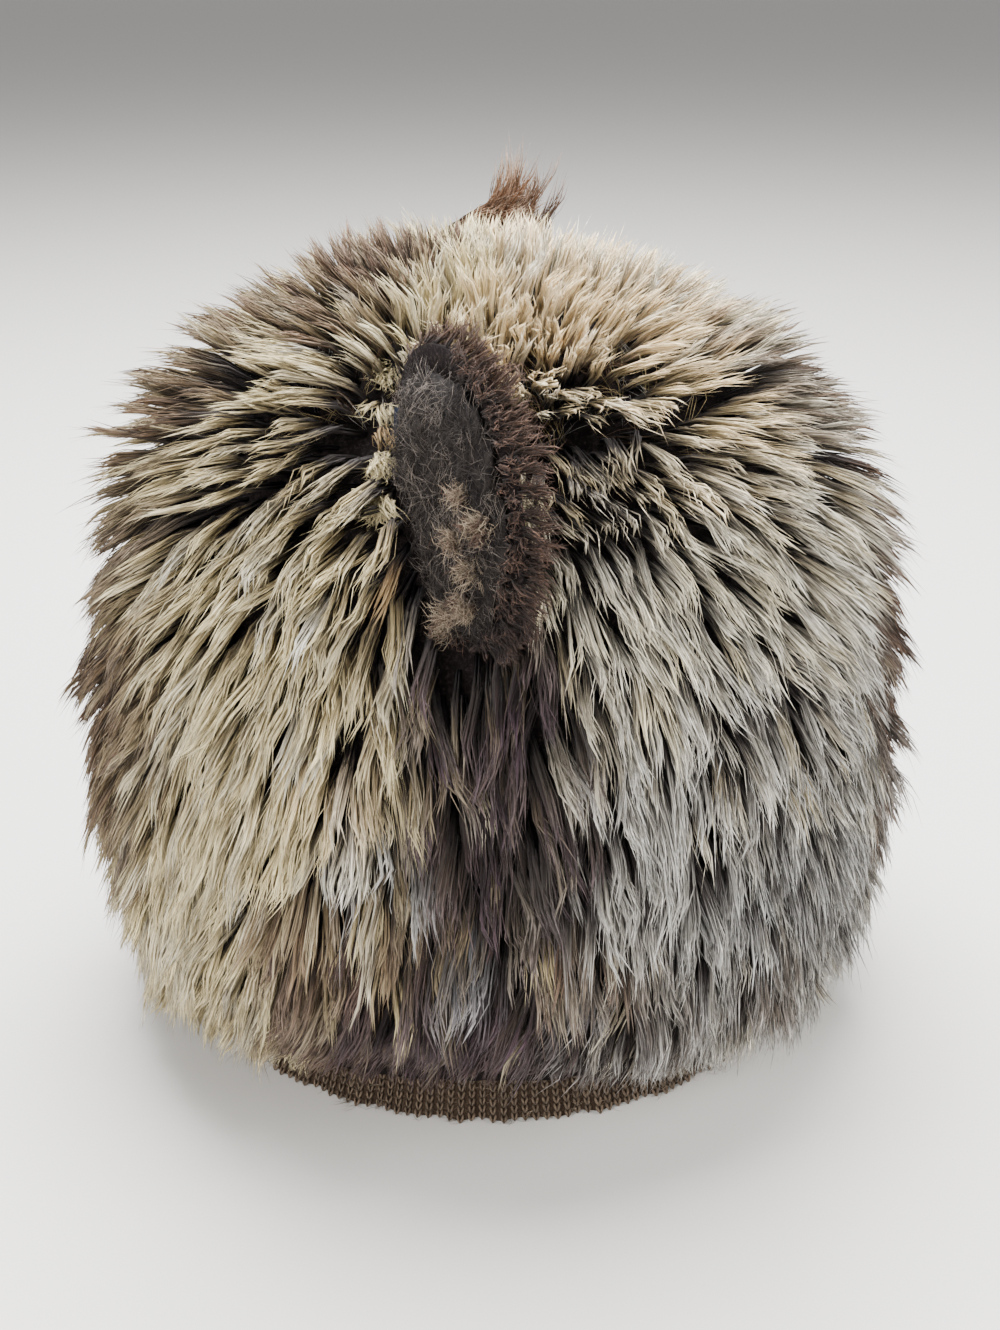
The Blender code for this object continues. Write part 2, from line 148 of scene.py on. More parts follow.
def skin_frame(angle, along):
    """Unit vectors out of the skin, down it and sideways, at each place."""
    up = unit(skin(angle, np.minimum(along + 1, LENGTH)) - skin(angle, along - 1))
    side = unit(np.stack([-OVAL[0] * np.sin(angle), OVAL[1] * np.cos(angle), 0 * angle], -1))
    return unit(np.cross(side, up)), -up, side


print(f"skin from hem to crown {LENGTH:.0f} mm, seam at {SEAM:.0f} mm")


# %% [markdown]
# ## Soft, repeatable unevenness
# Fur never lies evenly. A sum of a few sine waves in fixed directions gives a smooth
# wandering value at any place, the same each time the lesson runs.


# %% Smooth wandering values
def ripple(places, size, seed):
    """A smooth value from about -1 to 1 at each place, changing over about this many millimetres."""
    waves = np.random.default_rng(seed)
    ways = unit(waves.normal(size=(7, 3))) * waves.uniform(0.6, 1.5, (7, 1))
    phases = waves.uniform(0, 2 * math.pi, 7)
    return np.sin(places @ ways.T * (2 * math.pi / size) + phases).mean(-1) * 2.2


wandering = ripple(skin(np.linspace(0, 6, 200), np.full(200, 100.0)), 40, 1)
print(f"a wander round the crown goes from {wandering.min():.2f} to {wandering.max():.2f}")


# %% [markdown]
# ## Node maths written as sums
# Both materials and Geometry Nodes need arithmetic. A small wrapper round a socket lets
# Python's own + - * / build the Math nodes.


# %% Sockets that can be added and multiplied
class Tree:
    """A node tree in which a node is made by one call, with its settings first and its sockets after."""

    def __init__(self, tree):
        self.tree = tree
        self.shader = tree.bl_idname == "ShaderNodeTree"

    def node(self, kind, settings=None, **sockets):
        made = self.tree.nodes.new(kind)
        for name, value in (settings or {}).items():
            setattr(made, name, value)
        for name, value in sockets.items():
            self.put(self.find(made.inputs, name.replace("_", " ")), value)
        return made

    def find(self, sockets, name):
        if name.isdigit():
            return sockets[int(name)]
        for socket in sockets:
            if socket.enabled and socket.name.lower() == name.lower():
                return socket
        raise KeyError(f"{name} is not among {[s.name for s in sockets]}")

    def put(self, socket, value):
        if isinstance(value, Value):
            self.tree.links.new(value.socket, socket)
        elif value is not None:
            socket.default_value = value

    def out(self, made, name=None):
        shown = [s for s in made.outputs if s.enabled]
        socket = shown[0] if name is None else next(s for s in shown if s.name == name)
        return Value(self, socket)

    def read(self, name, kind="FLOAT"):
        """A value stored on the mesh under this name."""
        if self.shader:
            made = self.node("ShaderNodeAttribute", {"attribute_name": name})
            return self.out(made, "Fac" if kind == "FLOAT" else "Vector")
        made = self.node("GeometryNodeInputNamedAttribute", {"data_type": kind}, Name=name)
        return self.out(made, "Attribute")

    def maths(self, operation, *values, clamp=False):
        made = self.tree.nodes.new("ShaderNodeMath")
        made.operation = operation
        made.use_clamp = clamp
        for socket, value in zip(made.inputs, values):
            self.put(socket, value)
        return self.out(made)

    def vector(self, operation, *values, scale=None):
        made = self.tree.nodes.new("ShaderNodeVectorMath")
        made.operation = operation
        for socket, value in zip(made.inputs, values):
            self.put(socket, value)
        if scale is not None:
            self.put(made.inputs["Scale"], scale)
        return self.out(made)

    def mix(self, amount, first, second):
        """From the first colour to the second by this amount."""
        made = self.tree.nodes.new("ShaderNodeMix")
        made.data_type = "RGBA"
        for index, value in ((0, amount), (6, first), (7, second)):
            self.put(made.inputs[index], value)
        return Value(self, made.outputs[2])

    def ramp(self, value, low, high):
        """0 up to low, 1 from high, and smooth between."""
        made = self.node("ShaderNodeMapRange", {"interpolation_type": "SMOOTHSTEP"})
        for index, given in enumerate((value, low, high, 0.0, 1.0)):
            self.put(made.inputs[index], given)
        return self.out(made)

    def split(self, vector):
        made = self.node("ShaderNodeSeparateXYZ", Vector=vector)
        return [Value(self, s) for s in made.outputs]

    def join(self, x, y, z):
        return self.out(self.node("ShaderNodeCombineXYZ", X=x, Y=y, Z=z))

    def noise(self, place, scale, detail=2.0, roughness=0.5):
        sockets = {"Vector": place, "Scale": scale, "Detail": detail, "Roughness": roughness}
        return Value(self, self.node("ShaderNodeTexNoise", **sockets).outputs[0])


class Value:
    """One output socket, or an expression of several."""

    def __init__(self, owner, socket):
        self.owner = owner
        self.socket = socket

    def _do(self, operation, a, b):
        return self.owner.maths(operation, a, b)

    def __add__(self, other):
        return self._do("ADD", self, other)

    def __radd__(self, other):
        return self._do("ADD", other, self)

    def __sub__(self, other):
        return self._do("SUBTRACT", self, other)

    def __rsub__(self, other):
        return self._do("SUBTRACT", other, self)

    def __mul__(self, other):
        return self._do("MULTIPLY", self, other)

    def __rmul__(self, other):
        return self._do("MULTIPLY", other, self)

    def __truediv__(self, other):
        return self._do("DIVIDE", self, other)

    def __rtruediv__(self, other):
        return self._do("DIVIDE", other, self)

    def __pow__(self, other):
        return self._do("POWER", self, other)


# %% [markdown]
# ## One lock of fur
# A real lock is a bundle of hairs stuck together near the root and loose at the tip. Here
# it is a few wisps, thin pointed tubes side by side, and some single hairs that stray. It is
# drawn once, straight, as (sideways, thickness, along) and bent later by the node tree.


# %% Templates of a lock
def tube(path, radii, sides, squash=1.0, turn=0.0):
    """A closed, pointed tube along (x, y, t) places: the first is capped and the last is its tip."""
    verts = []
    faces = []
    for (x, y, t), radius in zip(path[:-1], radii):
        for k in range(sides):
            a = turn + 2 * math.pi * k / sides
            verts.append((x + radius * math.cos(a), y + radius * squash * math.sin(a), t))
    rings = len(path) - 1
    for ring in range(rings - 1):
        for k in range(sides):
            a, b = ring * sides + k, ring * sides + (k + 1) % sides
            faces.append((a, b, b + sides, a + sides))
    last = (rings - 1) * sides
    verts.append(tuple(path[-1]))
    for k in range(sides):
        faces.append((last + k, last + (k + 1) % sides, rings * sides))
    faces.append(tuple(reversed(range(sides))))
    return verts, faces


# A wisp's rings, its width at each as a share of its own, and how far they stand apart. Then a hair's.
WISP_STOPS = (0.05, 0.5, 0.86, 1.0)
WISP_WIDTH = (0.75, 1.0, 0.7)
WISP_APART = (0.8, 1.1, 1.15, 1.0)
HAIR_STOPS = (0.42, 0.8, 1.0)
HAIR_APART = (0.8, 1.15, 1.5)


def tangle(dice, stops, start, bend, apart, stray):
    """A wandering path of (sideways, thickness, along) that leaves a lock's middle at this start."""
    path = []
    for t, spread in zip(stops, apart):
        x = start[0] * spread + bend * t * t + dice.uniform(-stray, stray) * t
        y = start[1] * spread + dice.uniform(-stray, stray) * t
        path.append((x, y, t))
    return path


def template(name, tubes):
    """Tubes as one mesh, with its straight shape stored for the bending and for the colours."""
    verts = []
    faces = []
    for tube_verts, tube_faces in tubes:
        first = len(verts)
        verts.extend(tube_verts)
        faces.extend(tuple(first + i for i in face) for face in tube_faces)
    mesh = bpy.data.meshes.new(name)
    mesh.from_pydata(verts, [], faces)
    shape = mesh.attributes.new("shape", "FLOAT_VECTOR", "POINT")
    shape.data.foreach_set("vector", np.array(verts, float).ravel())
    return bpy.data.objects.new(name, mesh)


def lock_template(name, seed, wisps, half_width, half_depth, wisp_radius, stray, hairs, hair_radii, loose):
    """Wisps that start close together, with thinner and looser hairs round them."""
    dice = np.random.default_rng(seed)
    tubes = []

    def add(path, radii, reach, turn):
        tubes.append(tube([(x, y, t * reach) for x, y, t in path], radii, 3, 0.8, turn))

    bend = dice.uniform(-0.9, 0.9)
    for i in range(wisps):
        around = 2 * math.pi * (i + dice.uniform(0.1, 0.9)) / wisps
        inwards = 0.35 if i % 3 == 0 else dice.uniform(0.7, 1.1)
        start = (half_width * inwards * math.cos(around), half_depth * inwards * math.sin(around))
        radius = wisp_radius * dice.uniform(0.7, 1.3)
        radii = [radius * share for share in WISP_WIDTH]
        path = tangle(dice, WISP_STOPS, start, bend, WISP_APART, stray)
        add(path, radii, dice.uniform(0.8, 1.08), dice.uniform(0, 2))
    for i in range(hairs):
        around = 2 * math.pi * (i + dice.uniform(0, 1)) / hairs
        thin = i / max(1, hairs - 1)
        radius = hair_radii[0] + (hair_radii[1] - hair_radii[0]) * thin
        far = loose * dice.uniform(0.7, 1.1)
        start = (half_width * far * math.cos(around), half_depth * far * math.sin(around))
        path = tangle(dice, HAIR_STOPS, start, bend, HAIR_APART, stray * (1.2 + 1.6 * thin))
        add(path, [radius, 0.85 * radius], dice.uniform(0.84, 1.08 + 0.12 * thin), dice.uniform(0, 2))
    return template(name, tubes)


def template_set(name, count, make, first_seed, **options):
    """A collection of a few different templates, kept out of the scene."""
    collection = bpy.data.collections.new(name)
    for i in range(count):
        collection.objects.link(make(f"{name}_{i}", first_seed + i, **options))
    faces_each = [sum(len(p.vertices) - 2 for p in o.data.polygons) for o in collection.objects]
    print(f"{name}: {count} templates of {max(faces_each)} triangles")
    return collection


body_locks = template_set(
    "body lock",
    12,
    lock_template,
    50,
    wisps=3,
    half_width=1.15,
    half_depth=0.75,
    wisp_radius=0.72,
    stray=0.5,
    hairs=8,
    hair_radii=(0.32, 0.08),
    loose=1.35,
)


# %% [markdown]
# ## Bending a lock out of every root
# The node tree puts a straight template on each root, makes the copies real, and then
# moves every point onto a curve that leaves the skin one way and ends in another.


# %% The node tree
# How fast a lock's waves follow each other along it, and how near the floor hair may hang, in mm.
WAVE_PACE = 7.5
FLOOR_GAP = 0.4
TREE_INPUTS = (
    ("Geometry", "Geometry"),
    ("Locks", "Collection"),
    ("Material", "Material"),
    ("Seed", "Int"),
    ("Wave Pace", "Float"),
    ("Lowest", "Float"),
)


def bending_tree(name):
    """Geometry Nodes: roots with stored vectors in, bent locks out."""
    tree = bpy.data.node_groups.new(name, "GeometryNodeTree")
    for label, kind in TREE_INPUTS:
        tree.interface.new_socket(name=label, in_out="INPUT", socket_type="NodeSocket" + kind)
    tree.interface.new_socket(name="Geometry", in_out="OUTPUT", socket_type="NodeSocketGeometry")
    g = Tree(tree)
    given = tree.nodes.new("NodeGroupInput")
    roots, locks, material, seed, pace, lowest = (Value(g, s) for s in given.outputs[: len(TREE_INPUTS)])
    points = g.out(g.node("GeometryNodeMeshToPoints", Mesh=roots))
    which = g.node("FunctionNodeRandomValue", {"data_type": "INT"}, Seed=seed)
    g.put(g.find(which.inputs, "Min"), 0)
    g.put(g.find(which.inputs, "Max"), 99)
    shapes = g.node("GeometryNodeCollectionInfo", Collection=locks, Separate_Children=True)
    placed = g.node(
        "GeometryNodeInstanceOnPoints",
        Points=points,
        Instance=g.out(shapes),
        Pick_Instance=True,
        Instance_Index=g.out(which),
    )
    real = g.out(g.node("GeometryNodeRealizeInstances", Geometry=g.out(placed)))
    shape_x, shape_y, t = g.split(g.read("shape", "FLOAT_VECTOR"))
    bow = g.read("bow", "FLOAT_VECTOR")
    tip = g.read("tip", "FLOAT_VECTOR")
    side = g.read("side", "FLOAT_VECTOR")
    width = g.read("width")
    thickness = g.read("thickness")
    wave = g.maths("SINE", t * pace + g.read("luck") * 40) * t * g.read("wave")
    bow_part = g.vector("SCALE", bow, scale=2 * t * (1 - t))
    tip_part = g.vector("SCALE", tip, scale=t * t)
    middle = g.vector("ADD", bow_part, tip_part)
    heading = g.vector("SCALE", bow, scale=1 - 2 * t)
    heading = g.vector("NORMALIZE", g.vector("ADD", heading, g.vector("SCALE", tip, scale=t)))
    back = g.vector("NORMALIZE", g.vector("CROSS_PRODUCT", heading, side))
    across = g.vector("NORMALIZE", g.vector("CROSS_PRODUCT", back, heading))
    sideways = g.vector("SCALE", across, scale=(shape_x * width + wave) * MM)
    deep = g.vector("SCALE", back, scale=shape_y * thickness * MM)
    off_root = g.vector("ADD", middle, g.vector("ADD", sideways, deep))
    place = g.vector("ADD", g.read("root", "FLOAT_VECTOR"), off_root)
    # Hair that reaches the floor lies on it.
    x, y, z = g.split(place)
    place = g.join(x, y, g.maths("MAXIMUM", z, lowest))
    moved = g.out(g.node("GeometryNodeSetPosition", Geometry=real, Position=place))
    dressed = g.out(g.node("GeometryNodeSetMaterial", Geometry=moved, Material=material))
    smooth = g.out(g.node("GeometryNodeSetShadeSmooth", Geometry=dressed, Shade_Smooth=True))
    result = tree.nodes.new("NodeGroupOutput")
    tree.links.new(smooth.socket, result.inputs[0])
    return tree


fur_tree = bending_tree("bend_locks")
print(f"{fur_tree.name}: {len(fur_tree.nodes)} nodes, inputs", [label for label, _ in TREE_INPUTS])


# %% One call that grows a piece
def grow(name, roots, templates, material, seed=1):
    """Locks on these roots as one plain mesh. Each name that the tree reads is a column of roots, in mm."""
    count = len(roots["root"])
    points = bpy.data.meshes.new(name + "_roots")
    points.vertices.add(count)
    for key, column in roots.items():
        column = np.asarray(column, float)
        if key in ("root", "bow", "tip"):
            column = column * MM
        if key == "root":
            points.vertices.foreach_set("co", column.ravel())
        if column.ndim == 2:
            points.attributes.new(key, "FLOAT_VECTOR", "POINT").data.foreach_set("vector", column.ravel())
        else:
            points.attributes.new(key, "FLOAT", "POINT").data.foreach_set("value", column)
    holder = bpy.data.objects.new(name + "_holder", points)
    bpy.context.scene.collection.objects.link(holder)
    modifier = holder.modifiers.new("bend", "NODES")
    modifier.node_group = fur_tree
    inputs = {s.name: s.identifier for s in fur_tree.interface.items_tree if s.in_out == "INPUT"}
    modifier[inputs["Locks"]] = templates
    modifier[inputs["Material"]] = material
    modifier[inputs["Seed"]] = seed
    modifier[inputs["Wave Pace"]] = WAVE_PACE
    modifier[inputs["Lowest"]] = FLOOR_GAP * MM
    graph = bpy.context.evaluated_depsgraph_get()
    mesh = bpy.data.meshes.new_from_object(holder.evaluated_get(graph), depsgraph=graph)
    mesh.name = name
    made = bpy.data.objects.new(name, mesh)
    bpy.context.scene.collection.objects.link(made)
    bpy.data.objects.remove(holder)
    # These columns were for the node tree alone. The material reads the shape and the colours.
    for extra in ("bow", "tip", "side", "root"):
        if extra in mesh.attributes:
            mesh.attributes.remove(mesh.attributes[extra])
    triangles = sum(len(p.vertices) - 2 for p in mesh.polygons)
    print(f"{name}: {count} roots, {triangles} triangles")
    return made


def dress(node, finish, *pieces):
    """Fastens pieces to the hat's body in the place of a CAD node, which it hides. The finish it is given
    is not used.
    """
    for piece in pieces:
        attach(piece, "root")
        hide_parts(node)


# %% [markdown]
# ## Where the fur grows and how it is combed
# Roots lie in rings up the skin, each ring shifted against the last. Fur low on the side
# hangs, fur on the crown stands, and at the seam between them the two part. Small groups of
# locks lean together, which makes the dark gaps, and nothing grows through the ears.

# %% Roots in rings
# How far apart roots are on the sides and on top, in mm. Rows and shaking are shares of that.
SPACING = 5.3
TOP_SPACING = 4.6
ROW_SHARE = 0.87
SHAKE = 0.33


def ring_roots(low, high, spacing, seed):
    """(angle, along) of evenly spread, slightly shaken roots between two lengths up the skin."""
    dice = np.random.default_rng(seed)
    angles = []
    alongs = []
    rows = max(1, round((high - low) / (spacing * ROW_SHARE)))
    for row in range(rows):
        along = low + (row + 0.5) * (high - low) / rows
        radius = float(np.interp(along, ALONG, LINE[:, 0]))
        count = max(1, round(2 * math.pi * radius / spacing))
        turn = (row % 2) * 0.5 + dice.uniform(-0.1, 0.1)
        angle = (np.arange(count) + turn) / count * 2 * math.pi
        angles.append(angle + dice.uniform(-SHAKE, SHAKE, count) * spacing / radius)
        alongs.append(along + dice.uniform(-SHAKE, SHAKE, count) * spacing)
    return np.concatenate(angles), np.concatenate(alongs)


side_angle, side_along = ring_roots(1.0, SEAM - 1.0, SPACING, 31)
top_angle, top_along = ring_roots(SEAM + 1.0, LENGTH, TOP_SPACING, 32)
print("roots before any is left out:", len(side_angle), "on the sides,", len(top_angle), "on top")


# %% The comb and the hem
# Columns: height on the skin, length of a lock, lean towards the hem in degrees.
FUR_COMB = np.array(
    [
        (12.0, 14.0, 30.0),
        (24.0, 20.0, 44.0),
        (42.0, 28.0, 52.0),
        (60.0, 33.0, 56.0),
        (100.0, 35.0, 57.0),
        (140.0, 33.0, 53.0),
        (165.0, 32.0, 46.0),
        (185.0, 34.0, 37.0),
        (200.0, 34.0, 27.0),
        (208.0, 31.0, 24.0),
        (216.0, 27.0, 18.0),
        (222.0, 25.0, 8.0),
    ]
)
# Beside the ears the side's fur drops and the top's stands up, by these degrees at the seam itself.
SEAM_DROP = 17.0
SEAM_RISE = 16.0
SEAM_REACH = 14.0
SEAM_PARTING_ANGLE = 50.0
# Under each ear the hem is tucked up, the roots and the tips each by this much, within this angle.
HEM_LOW = 13.0
HEM_TUCK = 23.0
LOWEST_TIP = 5.5
TIP_TUCK = 13.0
HEM_TUCK_ANGLE = 26.0


def degrees_round(place):
    """Degrees round the crown: 0 at an ear, -90 in front and 90 behind, the same on both sides."""
    return np.degrees(np.arctan2(place[..., 1] / OVAL[1], np.abs(place[..., 0]) / OVAL[0]))


def hem_height(place):
    """How high the fur's lowest roots are."""
    return HEM_LOW + HEM_TUCK * np.exp(-((degrees_round(place) / HEM_TUCK_ANGLE) ** 2))


def tip_floor(place):
    """How low the fur's tips may hang."""
    tucked = np.exp(-((degrees_round(place) / HEM_TUCK_ANGLE) ** 4))
    return LOWEST_TIP + TIP_TUCK * tucked + 2.5 * ripple(place, 22, 8)


under_ear = skin(np.zeros(1), np.zeros(1))
hem_ends = hem_height(under_ear)[0], tip_floor(under_ear)[0]
print("under an ear the roots start at {:.0f} mm and tips may hang to {:.0f} mm".format(*hem_ends))


# %% [markdown]
# ## Combing
# Every root gets a lean towards the hem and a sway to the side, from the comb's table and
# slow wandering values. Then the tips of each small group are drawn together, the locks are
# turned away from the dark gaps, and those near the hem are cut to its line.

# %% How long the locks are and how they lean
# The longer fur at the front of the top, and the fur low on the sides that is brushed forwards.
FRONT_LONGER = 0.1
FORWARD_SWAY = 0.75
SWAY_HEIGHT = 42.0
SWAY_REACH = 28.0


def lengths_and_leans(root, along, beside_ear, dice, seed):
    """Each lock's length, and its lean from straight out towards the hem, in radians."""
    length = np.interp(root[:, 2], FUR_COMB[:, 0], FUR_COMB[:, 1])
    lean = np.interp(root[:, 2], FUR_COMB[:, 0], FUR_COMB[:, 2])
    near_seam = np.exp(-(((along - SEAM) / SEAM_REACH) ** 2)) * beside_ear
    near_seam = near_seam * (0.75 + 0.4 * ripple(root, 70, seed + 5))
    lean = lean + np.where(along < SEAM, SEAM_DROP, -SEAM_RISE) * near_seam
    length = length * (1 + 0.08 * ripple(root, 40, seed + 1) + dice.uniform(-0.15, 0.12, len(root)))
    # On top the fur is longer towards the front than towards the back.
    crown = np.clip((root[:, 2] - 185.0) / 25.0, 0, 1)
    length = length * (1 - FRONT_LONGER * crown * np.clip(root[:, 1] / 60.0, -1.2, 1.2))
    above_hem = np.clip((root[:, 2] - hem_height(root)) / 30.0, 0, 1)
    length = length * (0.5 + 0.5 * above_hem)
    lean = np.radians(lean) + 0.15 * ripple(root, 34, seed + 2) + dice.normal(0, 0.09, len(root))
    return length, lean


def sideways_sway(root, beside_ear, dice, seed):
    """How far each lock lies to the side of straight down, in radians."""
    sway = 0.22 * ripple(root, 45, seed + 3) + 0.12 * ripple(root, 17, seed + 4)
    sway = sway + dice.normal(0, 0.09, len(root))
    low = np.exp(-(((root[:, 2] - SWAY_HEIGHT) / SWAY_REACH) ** 2))
    return sway - FORWARD_SWAY * np.sign(root[:, 0]) * low * beside_ear


# %% Groups and gaps
# Groups of locks are about this wide, and their tips go this share of the way together.
CLUMP = 11.0
GATHER = 0.42
# Columns: angle round, height, reach in millimetres, push. Locks turn away from the middle of each gap.
GAPS = (
    (-23.0, 204.0, 17.0, 9.0),
    (-14.0, 209.0, 12.0, 6.0),
    (26.0, 204.0, 17.0, 4.0),
    (40.0, 200.0, 15.0, 4.0),
    (-4.0, 163.0, 9.0, 7.0),
    (32.0, 165.0, 12.0, 6.0),
    (29.0, 97.0, 12.0, 7.0),
    (-13.0, 100.0, 11.0, 6.0),
    (3.0, 72.0, 7.0, 5.0),
    (-57.0, 190.0, 13.0, 5.0),
    (-33.0, 118.0, 10.0, 4.0),
    (52.0, 80.0, 12.0, 6.0),
    (48.0, 128.0, 10.0, 5.0),
)


def height_along(height):
    """How far up the skin from the hem a height is."""
    return np.interp(height, LINE[:, 1], ALONG)


def gathered(root, tip, dice):
    """The tips, drawn towards that of the middle lock of each group."""
    middles = dice.permutation(len(root))[: max(1, int(len(root) * (SPACING / CLUMP) ** 2))]
    distance = np.linalg.norm(root[:, None] - root[None, middles], axis=-1)
    mine = middles[distance.argmin(1)]
    shared = root[mine] + tip[mine]
    pulled = GATHER * np.clip(distance.min(1) / CLUMP * 1.6, 0, 1)[:, None]
    return tip + pulled * (shared - (root + tip))


def parted(root, tip, out):
    """The tips, turned away from the gaps' middles on both sides of the hat."""
    for gap_angle, gap_height, reach, push in GAPS:
        left = math.radians(gap_angle)
        for turn in (left, math.pi - left):
            middle = skin(np.array([turn]), np.array([height_along(gap_height)]))[0]
            away = root + 0.5 * tip - middle
            away -= (away * out).sum(1)[:, None] * out
            far = np.linalg.norm(away, axis=1)
            strength = push * np.exp(-((far / reach) ** 2)) * np.clip(far / 4.0, 0, 1)
            tip = tip + unit(away) * strength[:, None]
    return tip


def cut_at_hem(root, tip, length):
    """Tips and lengths, with a lock near the hem cut short so that its tip ends on the hem's line."""
    allowed = tip_floor(root) - root[:, 2]
    cut = np.clip(np.where(tip[:, 2] < allowed, allowed / np.minimum(tip[:, 2], -0.1), 1.0), 0.4, 1.0)
    tip = tip * cut[:, None]
    tip[:, 2] = np.maximum(tip[:, 2], allowed)
    return tip, length * cut


# %% The combed roots
# How far a tip sags, and how far along its own way a lock bows before it turns to its tip.
SAG = 0.06
BOW_WAY = 0.8
BOW_LENGTH = 0.44


def chosen(roots, keep):
    """The columns of those roots that are kept."""
    return {key: column[keep] for key, column in roots.items()}


def combed(angle, along, seed):
    """The roots' columns: place, first heading, tip, side, width, thickness, wave and luck."""
    dice = np.random.default_rng(seed)
    n = len(angle)
    root = skin(angle, along)
    out, down, side = skin_frame(angle, along)
    beside_ear = np.exp(-((degrees_round(root) / SEAM_PARTING_ANGLE) ** 4))
    length, lean = lengths_and_leans(root, along, beside_ear, dice, seed)
    sway = sideways_sway(root, beside_ear, dice, seed)
    lie = down * np.cos(sway)[:, None] + side * np.sin(sway)[:, None]
    heading = out * np.cos(lean)[:, None] + lie * np.sin(lean)[:, None]
    tip = heading * length[:, None]
    tip[:, 2] -= SAG * length
    tip = parted(root, gathered(root, tip, dice), out)
    tip, length = cut_at_hem(root, tip, length)
    bow = unit(out + heading * BOW_WAY) * (BOW_LENGTH * length[:, None])
    columns = {
        "root": root,
        "bow": bow,
        "tip": tip,
        "side": side,
        "width": dice.uniform(0.7, 1.3, n),
        "thickness": dice.uniform(0.8, 1.2, n),
        "wave": dice.uniform(0.6, 3.0, n) * np.clip(length / 30, 0.2, 1),
        "luck": dice.uniform(0, 1, n),
    }
    return chosen(columns, root[:, 2] >= hem_height(root) - 4.0 * columns["luck"])


side_roots = combed(side_angle, side_along, 41)
top_roots = combed(top_angle, top_along, 42)
far = [np.linalg.norm(roots["tip"], axis=1).mean() for roots in (side_roots, top_roots)]
print(f"a lock's tip is {far[0]:.0f} mm from its root on the sides and {far[1]:.0f} mm on top")


# %% [markdown]
# ## Room for the ears
# The ears are sewn into the crown's seam, so no fur grows through them. Locks that would
# cross an ear are bent forwards or backwards of its plane, and roots under it are dropped.

# %% Keeping the fur out of the ears
# An ear stands on a plane through this foot, turned outwards from the front by this angle.
EAR_FOOT = np.array([78.0, -12.0, 0.0])
EAR_TURN = math.radians(25.0)
EAR_NORMAL = np.array([math.sin(EAR_TURN), -math.cos(EAR_TURN), 0.0])
EAR_WAY = np.array([math.cos(EAR_TURN), math.sin(EAR_TURN), 0.0])
EAR_CENTRE = (82.0, 194.0)
EAR_RADIUS = 38.0
# Locks keep this far in front of the plane and behind it, within this much more than the ear's radius.
EAR_FRONT_ROOM = 5.5
EAR_BACK_ROOM = 8.0
EAR_BACK_SHAKE = 4.0
EAR_MARGIN = 13.0
EAR_FADE = 8.0
# Roots between these, forward of the plane, are under the ear. Locks pushed back further than
# SQUEEZED at their tips are left out too.
UNDER_EAR = (-3.0, 4.0)
SQUEEZED = 4.0


def ear_depth(place):
    """How far places are in front of the ear's plane, and from 0 to 1 how far inside its round."""
    folded = np.array(place)
    folded[:, 0] = np.abs(folded[:, 0])
    forward = (folded - EAR_FOOT) @ EAR_NORMAL
    outward = (folded - EAR_FOOT) @ EAR_WAY
    centre = (EAR_CENTRE[0] - EAR_FOOT[0]) / math.cos(EAR_TURN)
    far = np.hypot(outward - centre, folded[:, 2] - EAR_CENTRE[1])
    return forward, np.clip((EAR_RADIUS + EAR_MARGIN - far) / EAR_FADE, 0, 1)


def clear_ears(roots):
    """Bends locks round the ears, and leaves out those rooted under one."""
    side = np.sign(roots["root"][:, :1])
    normal = EAR_NORMAL * np.concatenate([side, np.ones_like(side), np.ones_like(side)], 1)
    root_forward, root_inside = ear_depth(roots["root"])
    in_front = root_forward > 2.0
    # The tip first, and then two places on the way to it, are moved out of the ear's slab.
    for t in (1.0, 0.75, 0.5):
        place = roots["root"] + 2 * t * (1 - t) * roots["bow"] + t * t * roots["tip"]
        forward, inside = ear_depth(place)
        behind = -EAR_BACK_ROOM - EAR_BACK_SHAKE * roots["luck"]
        wanted = np.where(in_front, np.maximum(forward, EAR_FRONT_ROOM), np.minimum(forward, behind))
        moved = (wanted - forward) * inside
        if t == 1.0:
            squeezed = ~in_front & (moved < -SQUEEZED)
        roots["tip"] = roots["tip"] + normal * moved[:, None]
        roots["bow"] = roots["bow"] + normal * (0.6 if t == 1.0 else 1.0) * moved[:, None]
        roots["tip"][:, 2] -= 0.7 * np.maximum(-moved, 0)
    under = (root_forward > UNDER_EAR[0]) & (root_forward < UNDER_EAR[1]) & (root_inside > 0.9)
    return chosen(roots, ~(under | squeezed))


side_roots = clear_ears(side_roots)
top_roots = clear_ears(top_roots)
print("roots:", len(side_roots["luck"]), "on the sides,", len(top_roots["luck"]), "on top")


# %% [markdown]
# ## The fur's colours
# The pile has near-black roots, cream or silver lengths, and brown and plum patches. A short
# table places each patch by its angle round the crown and its height, the same on both
# sides, and a slow wander breaks its edge.

# %% Patches of colour
CREAM = (0.46, 0.36, 0.185)
SILVER = (0.46, 0.44, 0.40)
CREAM_TIP = (0.88, 0.75, 0.44)
SILVER_TIP = (0.95, 0.94, 0.90)
COOL_SILVER = (0.31, 0.32, 0.34)
COOL_SILVER_TIP = (0.84, 0.86, 0.88)
PLUM = (0.020, 0.010, 0.012)
PLUM_TIP = (0.068, 0.038, 0.054)
HEM_TIP = (0.090, 0.052, 0.045)
DARK_BROWN = (0.035, 0.017, 0.010)
DARK_BROWN_TIP = (0.125, 0.064, 0.035)
BROWN = (0.13, 0.078, 0.042)
BROWN_TIP = (0.30, 0.20, 0.115)
RED_TIP = (0.155, 0.088, 0.058)
PEACH = (0.80, 0.60, 0.38)
PEACH_TIP = (0.98, 0.76, 0.45)
OCHRE = (0.30, 0.175, 0.07)
CHARCOAL = (0.034, 0.026, 0.025)

